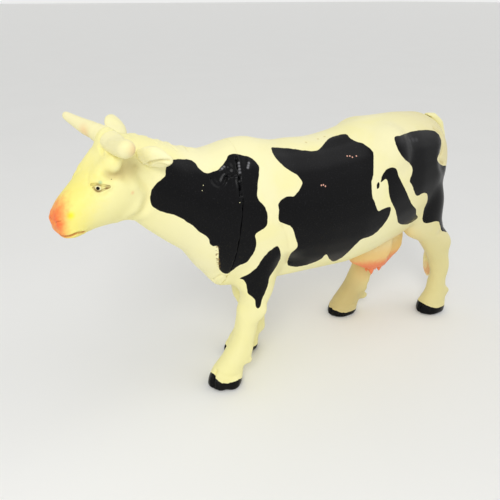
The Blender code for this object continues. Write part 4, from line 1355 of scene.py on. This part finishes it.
def ramp(tree, value, low, high, low_out=0.0, high_out=1.0):
    """A smooth step of a value between two limits; returns its output."""
    node = tree.nodes.new("ShaderNodeMapRange")
    node.interpolation_type = "SMOOTHSTEP"
    tree.links.new(value, node.inputs["Value"])
    for label, limit in (("From Min", low), ("From Max", high), ("To Min", low_out), ("To Max", high_out)):
        if isinstance(limit, bpy.types.NodeSocket):
            tree.links.new(limit, node.inputs[label])
        else:
            node.inputs[label].default_value = limit
    return node.outputs["Result"]


def mix(tree, share, first, second):
    """A mix of two colours; returns its output."""
    node = tree.nodes.new("ShaderNodeMix")
    node.data_type = "RGBA"
    for socket, value in ((node.inputs["Factor"], share), (node.inputs[6], first), (node.inputs[7], second)):
        if isinstance(value, bpy.types.NodeSocket):
            tree.links.new(value, socket)
        else:
            socket.default_value = value
    return node.outputs[2]


def noise(tree, vector, scale, detail=2.0, distortion=0.0):
    """A noise texture on a vector; returns its value."""
    node = tree.nodes.new("ShaderNodeTexNoise")
    tree.links.new(vector, node.inputs["Vector"])
    node.inputs["Scale"].default_value = scale
    node.inputs["Detail"].default_value = detail
    node.inputs["Distortion"].default_value = distortion
    return node.outputs["Fac"]


def grain_group():
    """Fine moulded grain and broad mottling of soft vinyl."""
    tree, start, end = socket_group(
        "vinyl_grain", [("Vector", "NodeSocketVector", None)],
        [("Height", "NodeSocketFloat"), ("Mottle", "NodeSocketFloat"), ("Fine", "NodeSocketFloat")])
    vector = start.outputs["Vector"]
    coarse = noise(tree, vector, COARSE_SCALE)
    fine = noise(tree, vector, FINE_SCALE, RICH_DETAIL)
    broad_part = math_node(tree, "MULTIPLY", coarse, COARSE_SHARE)
    height = math_node(tree, "ADD", broad_part, math_node(tree, "MULTIPLY", fine, FINE_SHARE))
    tree.links.new(height, end.inputs["Height"])
    broad = noise(tree, vector, MOTTLE_SCALE, RICH_DETAIL, MOTTLE_SWIRL)
    tree.links.new(ramp(tree, broad, *MOTTLE_RANGE), end.inputs["Mottle"])
    tree.links.new(fine, end.inputs["Fine"])
    return tree


def paint_group():
    """Hand-masked paint: an edge that wavers a little round a stored distance."""
    tree, start, end = socket_group(
        "paint_edge",
        [("Vector", "NodeSocketVector", None), ("Depth", "NodeSocketFloat", 0.0),
         ("Waver", "NodeSocketFloat", PAINT_WAVER), ("Softness", "NodeSocketFloat", PAINT_SOFTNESS)],
        [("Mask", "NodeSocketFloat")])
    wave = noise(tree, start.outputs["Vector"], WAVER_SCALE)
    shift = math_node(tree, "MULTIPLY", math_node(tree, "SUBTRACT", wave, 0.5), start.outputs["Waver"])
    depth = math_node(tree, "ADD", start.outputs["Depth"], math_node(tree, "MULTIPLY", shift, 2.0))
    softness = start.outputs["Softness"]
    below = math_node(tree, "MULTIPLY", softness, -1.0)
    tree.links.new(ramp(tree, depth, below, softness), end.inputs["Mask"])
    return tree


def spot_group():
    """A round painted spot or a round spray about one place."""
    tree, start, end = socket_group(
        "round_spot",
        [("Vector", "NodeSocketVector", None), ("Centre", "NodeSocketVector", None),
         ("Radius", "NodeSocketFloat", 0.001), ("Softness", "NodeSocketFloat", 0.0002)],
        [("Mask", "NodeSocketFloat")])
    node = tree.nodes.new("ShaderNodeVectorMath")
    node.operation = "DISTANCE"
    tree.links.new(start.outputs["Vector"], node.inputs[0])
    tree.links.new(start.outputs["Centre"], node.inputs[1])
    inner = math_node(tree, "SUBTRACT", start.outputs["Radius"], start.outputs["Softness"])
    outer = math_node(tree, "ADD", start.outputs["Radius"], start.outputs["Softness"])
    tree.links.new(ramp(tree, node.outputs["Value"], inner, outer, 1.0, 0.0), end.inputs["Mask"])
    return tree


def fringe_group():
    """Short level brush strokes beside a line."""
    tree, start, end = socket_group(
        "brush_fringe",
        [("Vector", "NodeSocketVector", None), ("Distance", "NodeSocketFloat", 1.0)],
        [("Mask", "NodeSocketFloat")])
    stretch = tree.nodes.new("ShaderNodeVectorMath")
    stretch.operation = "MULTIPLY"
    stretch.inputs[1].default_value = STROKE_STRETCH
    tree.links.new(start.outputs["Vector"], stretch.inputs[0])
    strokes = ramp(tree, noise(tree, stretch.outputs["Vector"], STROKE_SCALE, 1.0), *STROKE_RANGE)
    band = ramp(tree, start.outputs["Distance"], *FRINGE_RANGE, FRINGE_STRENGTH, 0.0)
    tree.links.new(math_node(tree, "MULTIPLY", strokes, band), end.inputs["Mask"])
    return tree


def shared_group(name):
    """One of the shared effects, built the first time that it is asked for."""
    makers = {"vinyl_grain": grain_group, "paint_edge": paint_group, "round_spot": spot_group,
              "brush_fringe": fringe_group}
    return bpy.data.node_groups.get(name) or makers[name]()


def named_colour(name):
    """One of the cow's colours, by its name."""
    return getattr(bpy.context.scene.cow_colours, name)


class Finish:
    """A material in the making: vinyl first, then layers of paint, each of a named colour."""

    def __init__(self, name, colour, tint):
        self.material = bpy.data.materials.new(name)
        self.material.use_nodes = True
        self.tree = self.material.node_tree
        self.shader = self.tree.nodes["Principled BSDF"]
        self.shader.inputs["Specular IOR Level"].default_value = VINYL_SHINE
        self.object = self.tree.nodes.new("ShaderNodeTexCoord").outputs["Object"]
        self.parts = None
        grain = self.effect("vinyl_grain")
        self.fine = grain.outputs["Fine"]
        share = math_node(self.tree, "MULTIPLY", grain.outputs["Mottle"], MOTTLE_SHARE)
        self.colour = mix(self.tree, share, named_colour(colour), named_colour(tint))
        self.roughness = ramp(self.tree, self.fine, *GRAIN_RANGE, *VINYL_ROUGHNESS)
        bump = self.tree.nodes.new("ShaderNodeBump")
        bump.inputs["Strength"].default_value = GRAIN_STRENGTH
        bump.inputs["Distance"].default_value = GRAIN_HEIGHT
        self.tree.links.new(grain.outputs["Height"], bump.inputs["Height"])
        self.tree.links.new(bump.outputs["Normal"], self.shader.inputs["Normal"])

    def effect(self, name, **values):
        """Place a shared effect on the piece's own coordinates."""
        node = self.tree.nodes.new("ShaderNodeGroup")
        node.node_tree = shared_group(name)
        self.tree.links.new(self.object, node.inputs["Vector"])
        for label, value in values.items():
            if isinstance(value, bpy.types.NodeSocket):
                self.tree.links.new(value, node.inputs[label])
            else:
                node.inputs[label].default_value = value
        return node

    def stored(self, name):
        """A value that the skin carries."""
        node = self.tree.nodes.new("ShaderNodeAttribute")
        node.attribute_name = name
        return node.outputs["Fac"]

    def layer(self, mask, colour, roughness=None):
        """Lay a colour over what is there, and its own gloss if it has one."""
        over = named_colour(colour) if isinstance(colour, str) else colour
        self.colour = mix(self.tree, mask, self.colour, over)
        if roughness is not None:
            node = self.tree.nodes.new("ShaderNodeMix")
            self.tree.links.new(mask, node.inputs["Factor"])
            self.tree.links.new(self.roughness, node.inputs[2])
            node.inputs[3].default_value = roughness
            self.roughness = node.outputs[0]

    def paint_hollow_shade(self):
        """Painted shade in the hollows of the skin, in ochre."""
        depth = ramp(self.tree, self.stored("hollow"), *HOLLOW_SHADE_RANGE, 0.0, HOLLOW_SHADE_STRENGTH)
        self.layer(depth, "ochre")

    def coat(self, stored, roughness, waver=PAINT_WAVER):
        """Black paint with dusty specks, where a stored depth says so."""
        edge = self.effect("paint_edge", Depth=self.stored(stored), Waver=waver)
        speckle = ramp(self.tree, self.fine, *DUST_RANGE, 0.0, DUST_STRENGTH)
        black = mix(self.tree, speckle, named_colour("black"), named_colour("dust_and_sheen"))
        self.layer(edge.outputs["Mask"], black, roughness)

    def wash(self, axis, level, way, softness, colour, strength):
        """A wide soft tint of all that lies beyond a level of one axis."""
        if self.parts is None:
            self.parts = self.tree.nodes.new("ShaderNodeSeparateXYZ")
            self.tree.links.new(self.object, self.parts.inputs[0])
        gap = math_node(self.tree, "SUBTRACT", self.parts.outputs[axis], level)
        gap = math_node(self.tree, "MULTIPLY", gap, way)
        soft = self.effect("paint_edge", Depth=gap, Waver=TINT_WAVER, Softness=softness)
        self.layer(math_node(self.tree, "MULTIPLY", soft.outputs["Mask"], strength), colour)

    def spot(self, place, radius, softness, colour, strength=1.0, roughness=None):
        """A round spot of paint or spray."""
        node = self.effect("round_spot", Centre=place, Radius=radius, Softness=softness)
        mask = math_node(self.tree, "MULTIPLY", node.outputs["Mask"], strength)
        self.layer(mask, colour, roughness)

    def dab(self, skin, rows):
        """Spots of paint at pixels of the photograph."""
        for pixels, radius, softness, colour, strength in rows:
            for pixel in pixels:
                self.spot(on_skin(skin, pixel), radius * MM, softness * MM, colour, strength)

    def line(self, name, width, colour, strength=1.0):
        """A soft painted line where a stored distance is small."""
        mask = ramp(self.tree, self.stored(name), width / 3, width, strength, 0.0)
        self.layer(mask, colour)

    def done(self):
        """Join the layers to the shader; returns the material."""
        self.tree.links.new(self.colour, self.shader.inputs["Base Color"])
        self.tree.links.new(self.roughness, self.shader.inputs["Roughness"])
        return self.material


def plain_finish(name, hollow_shade=False):
    """Bare vinyl, with or without painted shade in its hollows."""
    finish = Finish(name, "cream", "straw")
    if hollow_shade:
        finish.paint_hollow_shade()
    return finish


def body_finish(skin):
    """Warm legs, painted shade on the rear and a painted shadow on the far hock, then the coat patches with
    their chips and painted highlights, then the hooves.
    """
    finish = plain_finish("body_vinyl_paint", True)
    # Warm straw on the legs, and painted shade on the rear
    for tint in BODY_TINTS:
        finish.wash(*tint)
    # Painted shadow of the body on the far hind leg's hock
    finish.spot(beyond(FAR_HOCK, FAR_HOCK_SIDE), *FAR_HOCK_SHADOW)
    low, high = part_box("udder")
    finish.spot((low + high) / 2, *BELLY_SPRAY)
    finish.dab(skin, BODY_SPOTS)
    finish.coat("patch", COAT_ROUGHNESS)
    # Painted highlights on the black, and chips in it
    finish.dab(skin, COAT_SPOTS)
    finish.coat("hoof", HOOF_ROUGHNESS, HOOF_WAVER)
    return finish.done()


def spray_muzzle(finish, skin):
    """Yellow spray behind the muzzle, its bright spot, the orange spray and the mouth's line."""
    reach = finish.stored("muzzle")
    wide = math_node(finish.tree, "ADD", reach, YELLOW_REACH)
    yellow = finish.effect("paint_edge", Depth=wide, Waver=YELLOW_WAVER, Softness=YELLOW_SOFTNESS)
    share = math_node(finish.tree, "MULTIPLY", yellow.outputs["Mask"], YELLOW_STRENGTH)
    finish.layer(share, "yellow")
    finish.dab(skin, MUZZLE_SPOTS)
    orange = finish.effect("paint_edge", Depth=reach, Waver=ORANGE_WAVER, Softness=ORANGE_SOFTNESS)
    finish.layer(orange.outputs["Mask"], "orange")
    finish.line("mouth", *MOUTH_LINE)


def paint_eyes(finish, eyes):
    """A shaded socket, a pale eyeball, the lids' line and the pupil, sized by the pupil."""
    pupil = bpy.context.scene.cow_sizes.pupil_radius
    for eye in eyes:
        for radius, softness, colour, strength in EYE_LAYERS:
            finish.spot(eye, radius * pupil, softness * pupil, colour, strength)
    finish.line("lids", *LID_LINE)
    for eye in eyes:
        finish.spot(eye, pupil, PUPIL_SOFTNESS * pupil, "black", 1.0, PUPIL_ROUGHNESS)


def head_finish(skin, eyes):
    """Yellow face, muzzle, painted shade at the brows, eyes and specks, then the neck's patch with painted
    highlights on it, and its fringe.
    """
    finish = plain_finish("head_vinyl_paint", True)
    for tint in HEAD_TINTS:
        finish.wash(*tint)
    spray_muzzle(finish, skin)
    # Painted shade under the brows and in the pits behind them
    for pixel, radius in BROW_SHADES:
        for place in both_sides(skin, on_skin(skin, pixel)):
            finish.spot(place, radius * MM, BROW_SOFTNESS * radius * MM, "tan", BROW_STRENGTH)
    paint_eyes(finish, eyes)
    finish.dab(skin, FACE_SPOTS)
    finish.coat("patch", COAT_ROUGHNESS)
    # Painted highlights on the wrinkles of the neck's black
    finish.dab(skin, NECK_GLEAM_SPOTS)
    strokes = finish.effect("brush_fringe", Distance=finish.stored("fringe"))
    finish.layer(strokes.outputs["Mask"], "lid")
    finish.dab(skin, NECK_PALE_SPOTS)
    return finish.done()


def horn_finish(skins):
    """Pale vinyl with painted shade in its rings, and a faint orange painted shade at each tip."""
    finish = Finish("horn_vinyl_paint", "horn", "straw")
    finish.paint_hollow_shade()
    # Painted orange shade on the shaded edge of each tip
    for skin, pixel in zip(skins, HORN_TIP_SHADES):
        finish.dab(skin, (((pixel,), *HORN_TIP_SHADE),))
    return finish.done()


def udder_finish():
    """Cream at the belly, sprayed deeper and deeper towards the teats."""
    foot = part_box("udder")[0].z
    finish = plain_finish("udder_vinyl_paint", True)
    for axis, level, *rest in UDDER_TINTS:
        finish.wash(axis, foot + level, *rest)
    return finish.done()


def tail_finish(skin):
    """Cream, with a dirty orange tint on one side of the tuft."""
    finish = plain_finish("tail_vinyl_paint", True)
    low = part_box("tail")[0]
    middle = Vector(skin.points[skin.points[:, 2] < low.z + TUFT_LENGTH].mean(axis=0))
    side = Vector(photo_axes()[0])
    for rise in TUFT_BLUSH_LEVELS:
        place = middle + side * TUFT_BLUSH + Vector((0.0, 0.0, rise * TUFT_LENGTH))
        finish.spot(place, *TUFT_SPRAY)
    return finish.done()


class COW_OT_body(bpy.types.Operator):
    """Model and paint the trunk with its four legs"""
    bl_idname = "cow.body"
    bl_label = "Body"

    def execute(self, context):
        skin = model_body()
        materials = (body_finish(skin), plain_finish("body_vinyl_cut").done())
        finished("body_shell", skin.mesh, "body", materials)
        return {"FINISHED"}


class COW_OT_head(bpy.types.Operator):
    """Model and paint the neck and the head"""
    bl_idname = "cow.head"
    bl_label = "Head"

    def execute(self, context):
        skin, eyes = model_head()
        materials = (head_finish(skin, eyes), plain_finish("head_vinyl_cut").done())
        finished("head_shell", skin.mesh, "head", materials)
        return {"FINISHED"}


class COW_OT_horns(bpy.types.Operator):
    """Model and paint the two horns"""
    bl_idname = "cow.horns"
    bl_label = "Horns"

    def execute(self, context):
        names = ("left_horn", "right_horn")
        skins = [model_small(name, SMALL_ROUNDS, shape_horn) for name in names]
        material = horn_finish(skins)
        for name, skin in zip(names, skins):
            finished(name, skin.mesh, "head", (material,))
        return {"FINISHED"}


class COW_OT_ears(bpy.types.Operator):
    """Model and paint the two ears"""
    bl_idname = "cow.ears"
    bl_label = "Ears"

    def execute(self, context):
        material = plain_finish("ear_vinyl_paint", True).done()
        for name in ("left_ear", "right_ear"):
            skin = model_small(name, SMALL_ROUNDS, shape_ear)
            finished(name, skin.mesh, "head", (material,))
        return {"FINISHED"}


class COW_OT_udder(bpy.types.Operator):
    """Model and paint the udder with its four teats"""
    bl_idname = "cow.udder"
    bl_label = "Udder"

    def execute(self, context):
        skin = model_small("udder", UDDER_ROUNDS, shape_udder)
        finished("udder", skin.mesh, "body", (udder_finish(),))
        return {"FINISHED"}


class COW_OT_tail(bpy.types.Operator):
    """Model and paint the tail"""
    bl_idname = "cow.tail"
    bl_label = "Tail"

    def execute(self, context):
        skin = model_small("tail", SMALL_ROUNDS, shape_tail)
        finished("tail", skin.mesh, "body", (tail_finish(skin),))
        return {"FINISHED"}


def add_key(place, target, power, size):
    """A round soft lamp near the cow's head."""
    light = bpy.data.lights.new("key", "AREA")
    light.shape = "DISK"
    light.size = size
    light.energy = power
    lamp = bpy.data.objects.new("key", light)
    bpy.context.scene.collection.objects.link(lamp)
    lamp.location = place
    lamp.rotation_euler = (place - target).to_track_quat("Z", "Y").to_euler()
    lamp.visible_camera = False


def add_sun(way, strength, softness):
    """A wide lamp far away, in a direction from the cow."""
    light = bpy.data.lights.new("side", "SUN")
    light.energy = strength
    light.angle = softness
    lamp = bpy.data.objects.new("side", light)
    bpy.context.scene.collection.objects.link(lamp)
    lamp.location = way.normalized()
    lamp.rotation_euler = way.to_track_quat("Z", "Y").to_euler()


def add_camera():
    """The photograph's camera."""
    right, up, ahead = photo_axes()
    data = bpy.data.cameras.new("photo_camera")
    data.sensor_width = SENSOR_WIDTH
    data.lens = SENSOR_WIDTH * PHOTO_FOCAL / PHOTO_SIZE
    data.clip_start = CLIP_START
    camera = bpy.data.objects.new("photo_camera", data)
    bpy.context.scene.collection.objects.link(camera)
    turn = Matrix((right, up, -ahead)).transposed().to_4x4()
    camera.matrix_world = Matrix.Translation(PHOTO_CAMERA) @ turn
    bpy.context.scene.camera = camera


def add_floor(size, colour):
    """A wide floor with a faint, cloudy shade."""
    bm = bmesh.new()
    bmesh.ops.create_grid(bm, x_segments=8, y_segments=8, size=size / 2)
    mesh = bpy.data.meshes.new("floor")
    bm.to_mesh(mesh)
    bm.free()
    material = bpy.data.materials.new("floor_paint")
    material.use_nodes = True
    tree = material.node_tree
    shader = tree.nodes["Principled BSDF"]
    coordinates = tree.nodes.new("ShaderNodeTexCoord").outputs["Object"]
    shade = noise(tree, coordinates, FLOOR_SCALE, 3.0)
    darker = [channel * FLOOR_SHADE for channel in colour[:3]] + [1.0]
    tree.links.new(mix(tree, shade, colour, darker), shader.inputs["Base Color"])
    shader.inputs["Roughness"].default_value = FLOOR_ROUGHNESS
    mesh.materials.append(material)
    floor = bpy.data.objects.new("floor", mesh)
    bpy.context.scene.collection.objects.link(floor)


def add_sky(strength, seen):
    """Even light from all round, and a plain bright world behind the floor."""
    world = bpy.data.worlds.new("studio")
    world.use_nodes = True
    tree = world.node_tree
    background = tree.nodes["Background"]
    background.inputs["Color"].default_value = (1.0, 1.0, 1.0, 1.0)
    rays = tree.nodes.new("ShaderNodeLightPath")
    shown = math_node(tree, "MAXIMUM", rays.outputs["Is Camera Ray"], rays.outputs["Is Transmission Ray"])
    shown = math_node(tree, "MAXIMUM", shown, rays.outputs["Is Glossy Ray"])
    level = ramp(tree, shown, 0.0, 1.0, strength, seen)
    tree.links.new(level, background.inputs["Strength"])
    bpy.context.scene.world = world


class COW_OT_stage(bpy.types.Operator):
    """Set the floor, the lamps, the even light and the camera"""
    bl_idname = "cow.stage"
    bl_label = "Stage"

    def execute(self, context):
        stage = context.scene.cow_stage
        right, _, ahead = photo_axes()
        add_camera()
        add_floor(stage.floor_size, tuple(stage.floor))
        add_key(Vector(stage.key_place), HEAD_PLACE, stage.key, stage.key_size)
        above, across, behind = SIDE_WAY
        side_way = Vector((0.0, 0.0, above)) + right * across + ahead * behind
        add_sun(side_way, stage.side, stage.side_softness)
        add_sky(stage.sky, stage.backdrop)
        context.scene.view_settings.view_transform = "Standard"
        return {"FINISHED"}


PIECES = (COW_OT_body, COW_OT_head, COW_OT_horns, COW_OT_ears, COW_OT_udder, COW_OT_tail, COW_OT_stage)


class COW_PT_panel(bpy.types.Panel):
    """The cow's pieces and stage"""
    bl_idname = "COW_PT_panel"
    bl_label = "Toy Cow"
    bl_space_type = "VIEW_3D"
    bl_region_type = "UI"
    bl_category = "Toy Cow"

    def draw(self, context):
        """List the operators, and then the sizes and colours."""
        for operator in PIECES:
            self.layout.operator(operator.bl_idname)
        for group in (context.scene.cow_sizes, context.scene.cow_colours, context.scene.cow_stage):
            for name in group.__annotations__:
                self.layout.prop(group, name)


GROUPS = {"cow_sizes": CowSizes, "cow_colours": CowColours, "cow_stage": CowStage}


def register():
    """Make the sizes, colours, operators and panel known to Blender."""
    for cls in (*GROUPS.values(), *PIECES, COW_PT_panel):
        bpy.utils.register_class(cls)
    for name, cls in GROUPS.items():
        setattr(bpy.types.Scene, name, PointerProperty(type=cls))


def unregister():
    """Undo what register did."""
    for name in GROUPS:
        delattr(bpy.types.Scene, name)
    for cls in reversed((*GROUPS.values(), *PIECES, COW_PT_panel)):
        bpy.utils.unregister_class(cls)


def main():
    """Build the cow and its stage."""
    register()
    bpy.ops.cow.body()
    bpy.ops.cow.head()
    bpy.ops.cow.horns()
    bpy.ops.cow.ears()
    bpy.ops.cow.udder()
    bpy.ops.cow.tail()
    bpy.ops.cow.stage()


if __name__ == "__main__":
    main()
